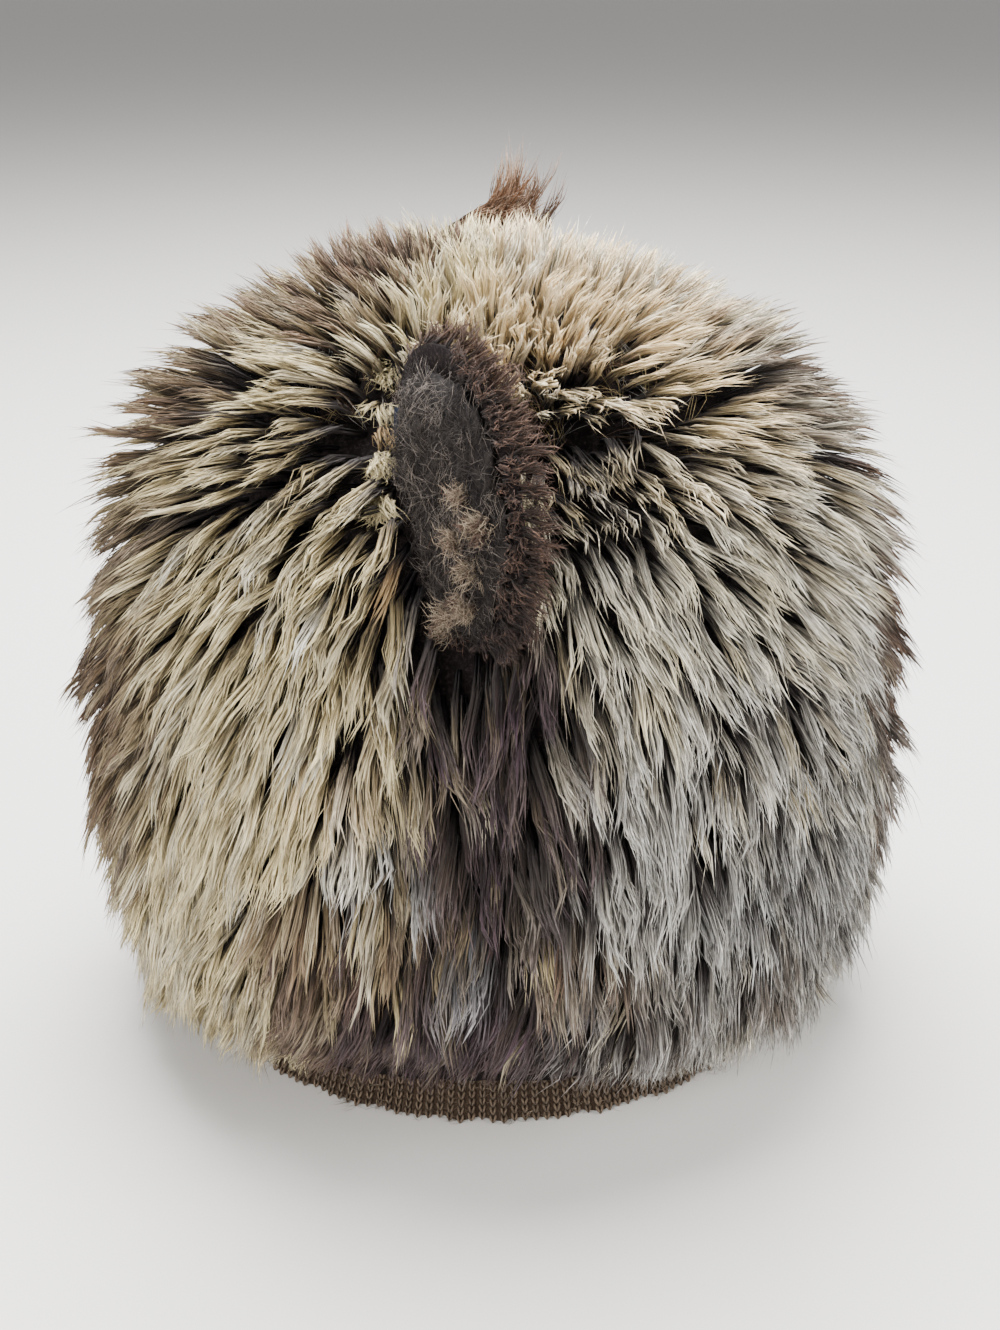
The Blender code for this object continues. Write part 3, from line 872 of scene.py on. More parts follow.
# Columns: angle round, height, reach round in degrees, reach up, length's colour, tip's colour, strength.
PATCHES = (
    (-92.0, 95.0, 16.0, 60.0, DARK_BROWN, DARK_BROWN_TIP, 0.8),
    (92.0, 130.0, 12.0, 80.0, DARK_BROWN, DARK_BROWN_TIP, 0.8),
    (38.0, 230.0, 44.0, 17.0, PEACH, PEACH_TIP, 0.97),
    (36.0, 213.0, 26.0, 9.0, CREAM, PEACH_TIP, 0.7),
    (-80.0, 237.0, 44.0, 13.0, DARK_BROWN, RED_TIP, 0.95),
    (-74.0, 205.0, 20.0, 22.0, DARK_BROWN, RED_TIP, 0.85),
    (30.0, 207.0, 32.0, 14.0, CREAM, PEACH_TIP, 0.8),
    (-79.0, 128.0, 29.0, 68.0, DARK_BROWN, DARK_BROWN_TIP, 0.92),
    (80.0, 140.0, 16.0, 75.0, DARK_BROWN, DARK_BROWN_TIP, 0.95),
    (40.0, 60.0, 24.0, 36.0, COOL_SILVER, COOL_SILVER_TIP, 0.5),
    (48.0, 45.0, 14.0, 16.0, DARK_BROWN, BROWN_TIP, 0.3),
    (26.0, 165.0, 22.0, 22.0, SILVER, CREAM_TIP, 0.35),
    (65.0, 206.0, 7.0, 12.0, BROWN, RED_TIP, 0.8),
    (-16.0, 116.0, 7.0, 12.0, PEACH, PEACH_TIP, 0.5),
    (0.0, 156.0, 8.0, 20.0, PLUM, PLUM_TIP, 0.95),
    (0.0, 126.0, 11.0, 26.0, PLUM, PLUM_TIP, 0.96),
    (1.0, 92.0, 13.0, 22.0, PLUM, PLUM_TIP, 0.97),
    (-10.0, 66.0, 13.0, 15.0, PLUM, DARK_BROWN_TIP, 0.85),
    (-24.0, 72.0, 9.0, 18.0, BROWN, BROWN_TIP, 0.8),
    (-6.0, 36.0, 27.0, 32.0, PLUM, PLUM_TIP, 0.97),
    (-22.0, 50.0, 10.0, 12.0, BROWN, BROWN_TIP, 0.4),
    (-5.0, 60.0, 5.0, 8.0, COOL_SILVER, COOL_SILVER_TIP, 0.35),
    (14.0, 40.0, 8.0, 10.0, COOL_SILVER, SILVER_TIP, 0.4),
    (-14.0, 38.0, 6.0, 8.0, COOL_SILVER, CREAM_TIP, 0.3),
    (-26.0, 30.0, 14.0, 8.0, BROWN, BROWN_TIP, 0.6),
    (32.0, 40.0, 14.0, 16.0, BROWN, SILVER, 0.5),
    (14.0, 62.0, 9.0, 12.0, BROWN, BROWN_TIP, 0.6),
    (-12.0, 168.0, 2.6, 16.0, OCHRE, OCHRE, 0.8),
    (-15.0, 98.0, 6.0, 12.0, COOL_SILVER, COOL_SILVER_TIP, 0.55),
    (20.0, 96.0, 7.0, 34.0, SILVER, SILVER_TIP, 0.8),
    (-4.0, 27.0, 28.0, 14.0, PLUM, HEM_TIP, 0.97),
    (-8.0, 44.0, 12.0, 10.0, PLUM, PLUM_TIP, 0.8),
)
# Where the fur is thicker fewer dark roots show, and more where it is thinner, below 0. The same share also
# paints light: on top, where light falls from above, the roots are painted paler, and in the partings
# beside the ears more dark root shows, partly as painted shade.
# Columns: angle round, height, reach round in degrees, reach up, share.
THICK_FUR_AND_PAINTED_LIGHT = (
    (36.0, 238.0, 60.0, 18.0, 0.6),
    (-40.0, 70.0, 22.0, 40.0, 0.20),
    (-30.0, 232.0, 40.0, 12.0, 0.16),
    (-34.0, 135.0, 26.0, 55.0, 0.15),
    (50.0, 55.0, 36.0, 50.0, -0.17),
    (12.0, 197.0, 9.0, 18.0, -0.28),
    (34.0, 168.0, 20.0, 24.0, 0.10),
    (-25.0, 203.0, 14.0, 12.0, -0.34),
    (28.0, 100.0, 26.0, 55.0, -0.07),
)


def fur_colours(roots, seed):
    """Adds the colour of each lock's length and of its tip, and how thick the fur is there, which also
    carries painted light on top and painted shade in the partings.
    """
    # A lock takes its colour from where its outer part lies, which wanders a little.
    place = roots["root"] + 0.75 * roots["tip"]
    round_at = degrees_round(place) + 3.5 * ripple(place, 55, seed) + 2.5 * ripple(place, 16, seed + 1)
    height = place[:, 2] + 5.0 * ripple(place, 50, seed + 2) + 4.0 * ripple(place, 15, seed + 3)
    dice = np.random.default_rng(seed + 4)
    # In front of the ear the fur is cream, and behind it silver.
    silvery = np.clip((round_at + 2.0) / 16.0, 0, 1) + dice.normal(0, 0.3, len(height))
    silvery = np.clip(silvery, 0, 1) * np.interp(height, (120.0, 180.0), (0.95, 0.6))
    silvery = silvery[:, None]
    coat = np.array(CREAM) * (1 - silvery) + np.array(SILVER) * silvery
    frost = np.array(CREAM_TIP) * (1 - silvery) + np.array(SILVER_TIP) * silvery
    scatter = dice.normal(0, 0.35, len(coat))
    for angle, level, wide, tall, length_colour, tip_colour, strength in PATCHES:
        off = np.minimum(((round_at - angle) / wide) ** 2 + ((height - level) / tall) ** 2 + scatter, 50.0)
        share = strength / (1 + np.exp(4.0 * (off - 1.0)))
        share = np.clip(share * dice.uniform(0.93, 1.05, len(coat)), 0, 1)[:, None]
        coat = coat + share * (np.array(length_colour) - coat)
        frost = frost + share * (np.array(tip_colour) - frost)
    bright = dice.uniform(0.78, 1.14, len(coat)) * (1 + 0.10 * ripple(place, 12, seed + 5))
    roots["coat"] = coat * bright[:, None]
    roots["frost"] = frost * bright[:, None]
    # How thick the fur is, with painted light on top and painted shade in the partings: it moves where a
    # lock's dark root ends.
    roots["thick"] = 0.0 * bright
    for angle, level, wide, tall, share in THICK_FUR_AND_PAINTED_LIGHT:
        off = ((round_at - angle) / wide) ** 2 + ((height - level) / tall) ** 2
        roots["thick"] += share * np.exp(-off)
    return roots


side_roots = fur_colours(side_roots, 71)
top_roots = fur_colours(top_roots, 71)
print(len(PATCHES), "patches, mean colour of the sides' lengths:", side_roots["coat"].mean(0).round(2))


# %% [markdown]
# ## The fur's surface
# Each lock fades from a near-black root to its own colour and a paler tip. Streaks that
# run along the lock stand for its single hairs, in colour and in a fine bump.


# %% Fur material
def principled(name, roughness=0.9, sheen=0.0):
    """A dull material, the tree of its nodes and its shader."""
    material = bpy.data.materials.new(name)
    material.use_nodes = True
    shader = material.node_tree.nodes["Principled BSDF"]
    shader.inputs["Roughness"].default_value = roughness
    shader.inputs["Specular IOR Level"].default_value = 0.18
    shader.inputs["Sheen Weight"].default_value = sheen
    shader.inputs["Sheen Roughness"].default_value = 0.5
    return material, Tree(material.node_tree), shader


def fur_surface(name, root_colour=CHARCOAL, dark_until=0.38, coat_from=0.76, frost_from=0.66, streak=3.4):
    """Fur that reads its colours from the locks: coat for the length and frost for the tip."""
    material, m, shader = principled(name, roughness=0.8, sheen=0.06)
    across, deep, t = m.split(m.read("shape", "VECTOR"))
    luck = m.read("luck")
    # Each lock reads its own part of the noise, drawn out along the lock.
    hair_place = m.join(across * streak + luck * 71.0, deep * streak, t * 3.0 + luck * 13.0)
    hairs = m.ramp(m.noise(hair_place, 1.0, detail=3.0, roughness=0.65), 0.30, 0.70)
    # The streaks and the fur's thickness, which also carries painted light and painted shade, shift where
    # the dark root ends and the tip's colour starts.
    fade = t + (hairs - 0.5) * 0.26 + m.read("thick")
    coat = m.mix(m.ramp(fade, dark_until, coat_from), (*root_colour, 1), m.read("coat", "VECTOR"))
    tipped = m.mix(m.ramp(fade, frost_from, 1.02), coat, m.read("frost", "VECTOR"))
    shade = 0.55 + 0.75 * hairs
    colour = m.vector("SCALE", tipped, scale=shade)
    m.put(shader.inputs["Base Color"], colour)
    bump = m.node("ShaderNodeBump", Height=hairs, Distance=0.0006, Strength=0.7)
    m.put(shader.inputs["Normal"], m.out(bump))
    return material


fur_material = fur_surface("brindled fur")


# %% [markdown]
# ## The crown's fur
# The real pelt is sewn from a front, a back and a round top. Each becomes a piece of its
# own in place of the coarse locks of the CAD model, and the sides are halved once more so
# that no piece grows too large.

# %% Growing the crown's fur
on_left = side_roots["root"][:, 0] >= 0
in_front = side_roots["root"][:, 1] < 0
for name, keep, node in (
    ("front_left_fur", on_left & in_front, "front_fur"),
    ("front_right_fur", ~on_left & in_front, "front_fur"),
    ("back_left_fur", on_left & ~in_front, "back_fur"),
    ("back_right_fur", ~on_left & ~in_front, "back_fur"),
):
    dress(node, "brindled_fur", grow(name, chosen(side_roots, keep), body_locks, fur_material))
dress("top_fur", "brindled_fur", grow("crown_fur", top_roots, body_locks, fur_material))


# %% [markdown]
# ## Under the fur
# Between the locks the eye sees short dark underfur on the cloth, and from below it sees the
# cloth's inner side. Both are turned from the same profile as the skin, panel by panel.


# %% Closed sheets and rings
def face_out(made):
    """Turns every face of a closed mesh outwards."""
    work = bmesh.new()
    work.from_mesh(made.data)
    bmesh.ops.recalc_face_normals(work, faces=work.faces)
    if work.calc_volume(signed=True) < 0:
        bmesh.ops.reverse_faces(work, faces=work.faces)
    work.to_mesh(made.data)
    work.free()


def closed_piece(name, verts, faces, material):
    """A smooth closed mesh from places in millimetres, facing outwards."""
    mesh = bpy.data.meshes.new(name)
    mesh.from_pydata((np.asarray(verts) * MM).tolist(), [], faces)
    mesh.materials.append(material)
    mesh.shade_smooth()
    made = bpy.data.objects.new(name, mesh)
    bpy.context.scene.collection.objects.link(made)
    face_out(made)
    print(f"{name}: {len(mesh.polygons)} faces")
    return made


# %% Underfur and lining
# Over the ears' sides the cloth ends this much higher, so that the knit band shows, and
# the rise fades out this far up.
HEM_RAISE = 6.0
HEM_RAISE_FADE = 30.0
# Outer and inner face, in millimetres outside the skin.
UNDERFUR_FACES = (1.2, -1.5)
LINING_FACES = (-1.9, -4.4)
# Half of the gap between two panels, round the crown in radians and along it in millimetres.
PANEL_GAP_ANGLE = 0.003
PANEL_GAP = 0.3


def shell(name, angles, alongs, outer, inner, material, seed):
    """A closed sheet between two offsets from the skin, over these angles and lengths up from the hem."""
    whole = len(angles) > 2 and abs((angles[-1] - angles[0]) - 2 * math.pi) < 1e-6
    if whole:
        angles = angles[:-1]
    capped = alongs[-1] >= LENGTH - 1e-6
    if capped:
        alongs = alongs[:-1]
    rows, columns = len(alongs), len(angles)
    grid_angle, grid_along = np.meshgrid(angles, alongs)
    flat_angle, flat_along = grid_angle.ravel(), grid_along.ravel()
    from_ear = degrees_round(skin(flat_angle, flat_along)) / HEM_TUCK_ANGLE
    raised = HEM_RAISE * np.exp(-(from_ear**2))
    flat = flat_angle, flat_along + raised * np.clip(1 - flat_along / HEM_RAISE_FADE, 0, 1)
    bumps = 0.35 * ripple(skin(*flat), 9, seed) + 0.25 * ripple(skin(*flat), 23, seed + 1)
    verts = [skin(*flat, 0.0 * flat[0] + outer + bumps), skin(*flat, 0.0 * flat[0] + inner + 0.6 * bumps)]
    if capped:
        top = np.array([0.0]), np.array([LENGTH])
        verts += [skin(*top, outer), skin(*top, inner)]
    faces = []
    layer = rows * columns
    around = columns if whole else columns - 1
    for row in range(rows - 1):
        for column in range(around):
            a, b = row * columns + column, row * columns + (column + 1) % columns
            faces.append((a, b, b + columns, a + columns))
            faces.append(tuple(layer + i for i in (a + columns, b + columns, b, a)))
    for column in range(around):
        a, b = column, (column + 1) % columns
        faces.append((layer + a, layer + b, b, a))
        top_a, top_b = (rows - 1) * columns + a, (rows - 1) * columns + b
        if capped:
            faces.append((top_a, top_b, 2 * layer))
            faces.append((layer + top_b, layer + top_a, 2 * layer + 1))
        else:
            faces.append((top_a, top_b, layer + top_b, layer + top_a))
    if not whole:
        for row in range(rows - 1):
            a, b = row * columns, (row + 1) * columns
            faces.append((a, b, layer + b, layer + a))
            a, b = a + columns - 1, b + columns - 1
            faces.append((b, a, layer + a, layer + b))
    return closed_piece(name, np.vstack(verts), faces, material)


def dark_pile(name, colour, paler, scale=900.0):
    """Short matted underfur: dark, dull and uneven."""
    material, m, shader = principled(name, roughness=1.0, sheen=0.0)
    shader.inputs["Specular IOR Level"].default_value = 0.05
    place = m.out(m.node("ShaderNodeTexCoord"), "Object")
    hairs = m.noise(place, scale, detail=4.0, roughness=0.7)
    colour = m.mix(m.ramp(hairs, 0.45, 0.8), (*colour, 1), (*paler, 1))
    m.put(shader.inputs["Base Color"], colour)
    bump = m.node("ShaderNodeBump", Height=hairs, Distance=0.0012, Strength=0.9)
    m.put(shader.inputs["Normal"], m.out(bump))
    return material


underfur_material = dark_pile("underfur", (0.010, 0.008, 0.008), (0.045, 0.035, 0.033))
lining_material = dark_pile("lining cloth", (0.055, 0.048, 0.045), (0.09, 0.08, 0.075), scale=2200.0)
front_angles = np.linspace(-math.pi + PANEL_GAP_ANGLE, -PANEL_GAP_ANGLE, 61)
back_angles = np.linspace(PANEL_GAP_ANGLE, math.pi - PANEL_GAP_ANGLE, 61)
all_angles = np.linspace(0, 2 * math.pi, 97)
side_rows = np.linspace(0.0, SEAM - PANEL_GAP, 26)
top_rows = np.linspace(SEAM + PANEL_GAP, LENGTH, 12)
for name, angles, rows, seed in (
    ("front", front_angles, side_rows, 91),
    ("back", back_angles, side_rows, 93),
    ("top", all_angles, top_rows, 95),
):
    under = shell(name + "_underfur", angles, rows, *UNDERFUR_FACES, underfur_material, seed)
    lining = shell(name + "_lining", angles, rows, *LINING_FACES, lining_material, seed + 1)
    dress(name + "_fur", "brindled_fur", under)
    dress(name + "_panel", "woven_backing", lining)


# %% [markdown]
# ## The ear's shape
# Each ear is a padded plush face with a furred back, standing on a line across the crown.
# Pad, back and fur have to share one shape, so a few functions give any place on it: its
# rim is a round that runs into the crown, and its root follows the crown's skin.

# %% The ear's own places
EAR_ROOT_TOP = 199.0
EAR_ROOT_FOOT = 156.0
EAR_HEART = (91.0, 199.0)
# The rim stands this far forward of the middle, and bends into the root over this share of its way.
EAR_CUP = 2.0
EAR_END_BLEND = 0.25
RIM_STEPS = 40
ROOT_STEPS = 16
LOOP_STEPS = RIM_STEPS + ROOT_STEPS


def mirrored(places, side):
    """Places of the left ear (side 1), or the same on the right (side -1)."""
    return np.asarray(places) * (side, 1.0, 1.0)


def ear_place(x, height, forward):
    """The point of the left ear over this x on its plane, moved forward of the plane, in mm."""
    outward = (x - EAR_FOOT[0]) / math.cos(EAR_TURN)
    return EAR_FOOT + EAR_WAY * outward + EAR_NORMAL * forward + np.array([0.0, 0.0, height])


def ear_root(height, forward):
    """Where the plane, moved forward, meets the crown at this height."""
    at = np.array([0.0]), np.array([float(height_along(height))])
    radius = skin(*at, 1.0)[0, 0] / OVAL[0]
    base = EAR_FOOT + EAR_NORMAL * forward
    way = EAR_WAY[:2] / OVAL
    start = base[:2] / OVAL
    a, b, c = way @ way, start @ way, start @ start - radius**2
    return base + EAR_WAY * ((math.sqrt(b * b - a * c) - b) / a) + np.array([0.0, 0.0, height])


def ear_rim(part, forward):
    """The rim from the root's top (0) over the tip to the root's foot (1)."""
    centre = np.array(EAR_CENTRE)
    start = ear_root(EAR_ROOT_TOP, 0.0)[[0, 2]] - centre
    end = ear_root(EAR_ROOT_FOOT, 0.0)[[0, 2]] - centre
    first, last = math.atan2(start[1], start[0]), math.atan2(end[1], end[0])
    angle = first + (last - first) * part
    near_top = max(0.0, 1 - part / EAR_END_BLEND) ** 2
    near_foot = max(0.0, 1 - (1 - part) / EAR_END_BLEND) ** 2
    at_top = near_top * (np.linalg.norm(start) - EAR_RADIUS)
    at_foot = near_foot * (np.linalg.norm(end) - EAR_RADIUS)
    radius = EAR_RADIUS + at_top + at_foot
    x, height = centre + radius * np.array([math.cos(angle), math.sin(angle)])
    return ear_place(x, height, forward)


def ear_loop(step, forward):
    """The edge all round: over the rim, and back up along the root."""
    if step <= RIM_STEPS:
        return ear_rim(step / RIM_STEPS, forward)
    climbed = (step - RIM_STEPS) / ROOT_STEPS
    return ear_root(EAR_ROOT_FOOT + (EAR_ROOT_TOP - EAR_ROOT_FOOT) * climbed, forward)


def ear_surface(out, step, edge, middle):
    """A place on a face of the ear: out is 0 in its middle and 1 on its edge."""
    forward = middle + (edge - middle) * out**2 + EAR_CUP * out**2
    heart = ear_place(*EAR_HEART, forward)
    return heart + (ear_loop(step, forward) - heart) * out


ear_tip = max((ear_rim(part, 0.0) for part in np.linspace(0, 1, 41)), key=lambda place: place[2])
print("the ear's tip is at", ear_tip.round(1), "mm")


# %% [markdown]
# ## The ear's back
# Behind the pad the real ear has a second layer of cloth that carries its fur. It could be
# a bare sheet, but a thin closed slab has no open edge where the ear is seen from its side.

# %% The ear's back, as a thin slab
# Share of the way to the rim of each ring, and how far its front and its back face are
# forward of the ear's plane, on the edge and in the middle.
BACK_RINGS = (0.3, 0.55, 0.8, 1.0)
BACK_FACES = ((-0.5, -0.5), (-2.0, -3.0))


def ear_back(name, side, material):
    """Two faces of rings round a middle point, joined along their edge."""
    count, rings = LOOP_STEPS, BACK_RINGS
    verts = []
    for edge, middle in BACK_FACES:
        verts.append(ear_surface(0.0, 0, edge, middle))
        verts += [ear_surface(out, step, edge, middle) for out in rings for step in range(count)]
    faces = []
    layer = 1 + count * len(rings)
    for first in (0, layer):
        for k in range(count):
            faces.append((first, first + 1 + k, first + 1 + (k + 1) % count))
            for ring in range(len(rings) - 1):
                a = first + 1 + ring * count
                faces.append((a + k, a + count + k, a + count + (k + 1) % count, a + (k + 1) % count))
    a = 1 + (len(rings) - 1) * count
    for k in range(count):
        here, after = a + k, a + (k + 1) % count
        faces.append((here, after, layer + after, layer + here))
    return closed_piece(name, mirrored(verts, side), faces, material)


# %% [markdown]
# ## The stuffed pad
# The real pad is a cloth bag with filling. The CAD model gives its outline and its size. A
# voxel remesh makes its faces even, a short cloth simulation with pressure swells it
# between its edges, and the swelling is kept small so that the ear stays in its place.

# %% The pad, blown up as cloth
# The pad against the CAD pad: its size, its thickness and how far it moves forward, in mm.
PAD_SHRINK = 0.96
PAD_THIN = 0.6
PAD_BACK = -0.4
# The remesh's voxel and the most that the cloth may move, in metres.
PAD_VOXEL = 0.0032
PAD_CAP = 0.0020
PAD_PRESSURE = 4.0
PAD_QUALITY = 6
PAD_FRAMES = 20


def vertex_places(mesh):
    """A mesh's points, in metres."""
    places = np.empty(len(mesh.vertices) * 3)
    mesh.vertices.foreach_get("co", places)
    return places.reshape(-1, 3)


def thinned(places, side):
    """The CAD ear's places, pressed towards the ear's plane, in millimetres."""
    normal = mirrored(EAR_NORMAL, side)
    forward = (places - mirrored(EAR_FOOT, side)) @ normal
    return places + ((PAD_THIN - 1) * forward + PAD_BACK)[:, None] * normal


def ear_pad(name, node, side, material):
    """The CAD pad's form, remeshed, swollen as cloth and smoothed."""
    source = frame["nodes"][node]
    mesh = source.data.copy()
    mesh.materials.clear()
    made = bpy.data.objects.new(name, mesh)
    bpy.context.scene.collection.objects.link(made)
    places = vertex_places(mesh)
    middle = places.mean(0)
    places = thinned((middle + (places - middle) * PAD_SHRINK) / MM, side) * MM
    mesh.vertices.foreach_set("co", places.ravel())
    bpy.context.view_layer.objects.active = made
    made.select_set(True)
    remesh = made.modifiers.new("even", "REMESH")
    remesh.mode = "VOXEL"
    remesh.voxel_size = PAD_VOXEL
    bpy.ops.object.modifier_apply(modifier="even")
    before = vertex_places(made.data)
    cloth = made.modifiers.new("stuffing", "CLOTH")
    cloth.settings.use_pressure = True
    cloth.settings.uniform_pressure_force = PAD_PRESSURE
    cloth.settings.effector_weights.gravity = 0.0
    cloth.settings.quality = PAD_QUALITY
    scene = bpy.context.scene
    for step in range(1, PAD_FRAMES + 1):
        scene.frame_set(step)
    bpy.ops.object.modifier_apply(modifier="stuffing")
    scene.frame_set(1)
    moved = vertex_places(made.data) - before
    normal = mirrored(EAR_NORMAL, side)
    # The pad may swell forwards, but not back into its fur.
    moved -= np.minimum(moved @ normal, 0)[:, None] * normal
    far = np.linalg.norm(moved, axis=1, keepdims=True)
    moved *= np.minimum(1, PAD_CAP / np.maximum(far, 1e-9))
    made.data.vertices.foreach_set("co", (before + moved).ravel())
    print(f"{name}: stuffed, moved up to {far.max() / MM:.1f} mm, kept under {PAD_CAP / MM} mm")
    finer = made.modifiers.new("soft", "SUBSURF")
    finer.levels = finer.render_levels = 1
    bpy.ops.object.modifier_apply(modifier="soft")
    made.select_set(False)
    made.data.materials.append(material)
    made.data.shade_smooth()
    return made


# %% [markdown]
# ## Plush and tufts on the pad
# The pad's short plush is worn and matted: thin hairs lie on dark cloth in all directions,
# and a few paler tufts stand up. The crown's node tree bends these hairs too, but their
# templates are thin curls, and a bare crescent of cloth is kept beside the root.

# %% Curled hairs
CURL_STOPS = (0.0, 0.36, 0.7, 1.0)


def curl_template(name, seed, hairs, thick, apart, wander):
    """A few hairs that wander as they go along."""
    dice = np.random.default_rng(seed)
    tubes = []
    for _ in range(hairs):
        x, y = dice.normal(0, apart, 2)
        path = []
        for t in CURL_STOPS:
            path.append((x, y, t * dice.uniform(0.9, 1.0)))
            x += dice.normal(0, wander)
            y += dice.normal(0, wander * 0.6)
        tubes.append(tube(path, [thick, thick, thick * 0.8], 3, 1.0, dice.uniform(0, 2)))
    return template(name, tubes)


plush_curls = template_set("plush curl", 8, curl_template, 80, hairs=4, thick=0.07, apart=0.9, wander=1.0)
tuft_curls = template_set("tuft curl", 8, curl_template, 90, hairs=7, thick=0.10, apart=0.7, wander=1.0)

# %% Where the plush grows
# Places on the left ear's face, in millimetres outward from its foot and up: a tuft's middle and its width.
TUFTS = (
    (35.0, 219.0, 2.0),
    (40.0, 209.0, 2.4),
    (30.0, 204.0, 1.8),
    (37.0, 198.0, 2.1),
    (27.0, 192.0, 1.9),
    (33.0, 187.0, 1.9),
    (28.0, 176.0, 2.2),
    (20.0, 171.0, 1.8),
    (13.0, 165.0, 2.0),
)
# The left ear's plush is the rougher one.
PLUSH_COUNT = {1: 880, -1: 340}
# Where the pad's navy cloth lies bare: along the root's upper half, in the gap by the crown, where the
# cloth's colour is painted dark as the gap's shade.
BARE_FROM = 192.0
BARE_TO = 228.0
BARE_WIDTH = 11.5
BARE_MARGIN = 5.0
# Painted shade: the plush is painted darker low on the pad, as in the ear's shadow. It is this dark up to
# the first height, and as pale as elsewhere from the second.
PLUSH_PAINTED_SHADE = (160.0, 178.0)
PLUSH_PAINTED_SHADE_DARKEST = 0.35
# For the tufts this many times the plush's places are tried. They start this far over the cloth.
TUFT_PLACES = 7
TUFT_RAISE = 1.4
PLUSH = (0.036, 0.028, 0.025)
PLUSH_PALE = (0.20, 0.165, 0.14)
TUFT_TAN = (0.32, 0.25, 0.175)
NAVY_IN_PAINTED_SHADE = (0.012, 0.017, 0.030)
EAR_BROWN = (0.048, 0.026, 0.018)
EAR_BROWN_TIP = (0.140, 0.078, 0.054)
EAR_ORANGE = (0.28, 0.14, 0.07)
EAR_ORANGE_TIP = (0.40, 0.27, 0.18)
EAR_DARK = (0.022, 0.014, 0.014)


def pad_points(pad, side, count, seed):
    """Evenly scattered places on the pad's front, in millimetres, with its normals there."""
    dice = np.random.default_rng(seed)
    mesh = pad.data
    mesh.calc_loop_triangles()
    corners = np.empty(len(mesh.loop_triangles) * 3, int)
    mesh.loop_triangles.foreach_get("vertices", corners)
    tri = vertex_places(mesh)[corners.reshape(-1, 3)] / MM
    cross = np.cross(tri[:, 1] - tri[:, 0], tri[:, 2] - tri[:, 0])
    area = np.linalg.norm(cross, axis=1)
    facing = unit(cross) @ mirrored(EAR_NORMAL, side)
    weight = area * (facing > 0.05)
    picked = dice.choice(len(tri), count, p=weight / weight.sum())
    mix = dice.dirichlet((1, 1, 1), count)
    return (tri[picked] * mix[:, :, None]).sum(1), unit(cross[picked])


def ear_coordinates(places):
    """(outward from the foot, height) of places on or near an ear."""
    folded = np.array(places)
    folded[:, 0] = np.abs(folded[:, 0])
    return (folded - EAR_FOOT) @ EAR_WAY, folded[:, 2]


def bare_cloth(places, margin=0.0):
    """Whether a place is on the bare crescent beside the root's upper half, or this near to it."""
    outward, height = ear_coordinates(places)
    root = np.array([(ear_root(min(h, EAR_ROOT_TOP), 8.0) - EAR_FOOT) @ EAR_WAY for h in height])
    edge = root + np.where(height > EAR_ROOT_TOP, (height - EAR_ROOT_TOP) * 0.25, 0)
    width = (BARE_WIDTH + margin) * np.sin((height - BARE_FROM) / (BARE_TO - BARE_FROM) * math.pi)
    return (height > BARE_FROM) & (height < BARE_TO) & (outward < edge + width)


# %% Hairs that lie on a surface
def lying_hairs(places, normals, seed, length, lift, colours, shares):
    """Columns for short hairs that lie on a surface in all directions."""
    dice = np.random.default_rng(seed)
    n = len(places)
    random_way = unit(dice.normal(size=(n, 3)))
    along = unit(random_way - (random_way * normals).sum(1)[:, None] * normals)
    reach = dice.uniform(*length, n)[:, None]
    rise = dice.uniform(*lift, n)[:, None]
    turned = np.cross(normals, along)
    swing = dice.normal(0, 0.5, n)[:, None]
    which = dice.choice(len(shares), n, p=shares)
    coat = np.array(colours)[which] * dice.uniform(0.7, 1.25, n)[:, None]
    return {
        "root": places - 0.2 * normals,
        "bow": (along * 0.45 + normals * rise * 1.6 + turned * swing * 0.3) * reach * 0.6,
        "tip": (along * 0.8 + normals * rise + turned * swing) * reach,
        "side": turned,
        "width": dice.uniform(0.8, 1.2, n),
        "thickness": dice.uniform(0.8, 1.2, n),
        "wave": dice.uniform(0.1, 0.6, n),
        "luck": dice.uniform(0, 1, n),
        "coat": coat,
        "frost": coat * 1.25,
        "thick": np.zeros(n),
    }


# %% The pad's finish
PLUSH_ROOT = (0.03, 0.025, 0.024)
plush_surface = fur_surface("matted plush hair", root_colour=PLUSH_ROOT, dark_until=-0.3, coat_from=0.3)
pad_material, m, pad_shader = principled("ear cloth", roughness=0.9, sheen=0.0)
place = m.out(m.node("ShaderNodeTexCoord"), "Object")
matted = m.noise(place, 420.0, detail=4.0, roughness=0.7)
bare = m.read("bare")
plush_colour = m.mix(m.ramp(matted, 0.38, 0.72), (0.005, 0.004, 0.004, 1), (0.026, 0.021, 0.019, 1))
# On the bare crescent the navy cloth is painted dark, as painted shade in the gap beside the root.
m.put(pad_shader.inputs["Base Color"], m.mix(bare, plush_colour, (*NAVY_IN_PAINTED_SHADE, 1)))
m.put(pad_shader.inputs["Roughness"], 0.92 - 0.4 * bare)
pad_bump = m.node("ShaderNodeBump", Height=matted * (1.0 - bare), Distance=0.001, Strength=0.9)
m.put(pad_shader.inputs["Normal"], m.out(pad_bump))


# %% Pads, plush and tufts of both ears
SIDES = ((1, "left"), (-1, "right"))


def mark_bare(pad):
    """Stores on the pad's points whether the cloth is bare there."""
    attribute = pad.data.attributes.new("bare", "FLOAT", "POINT")
    attribute.data.foreach_set("value", bare_cloth(vertex_places(pad.data) / MM).astype(float))


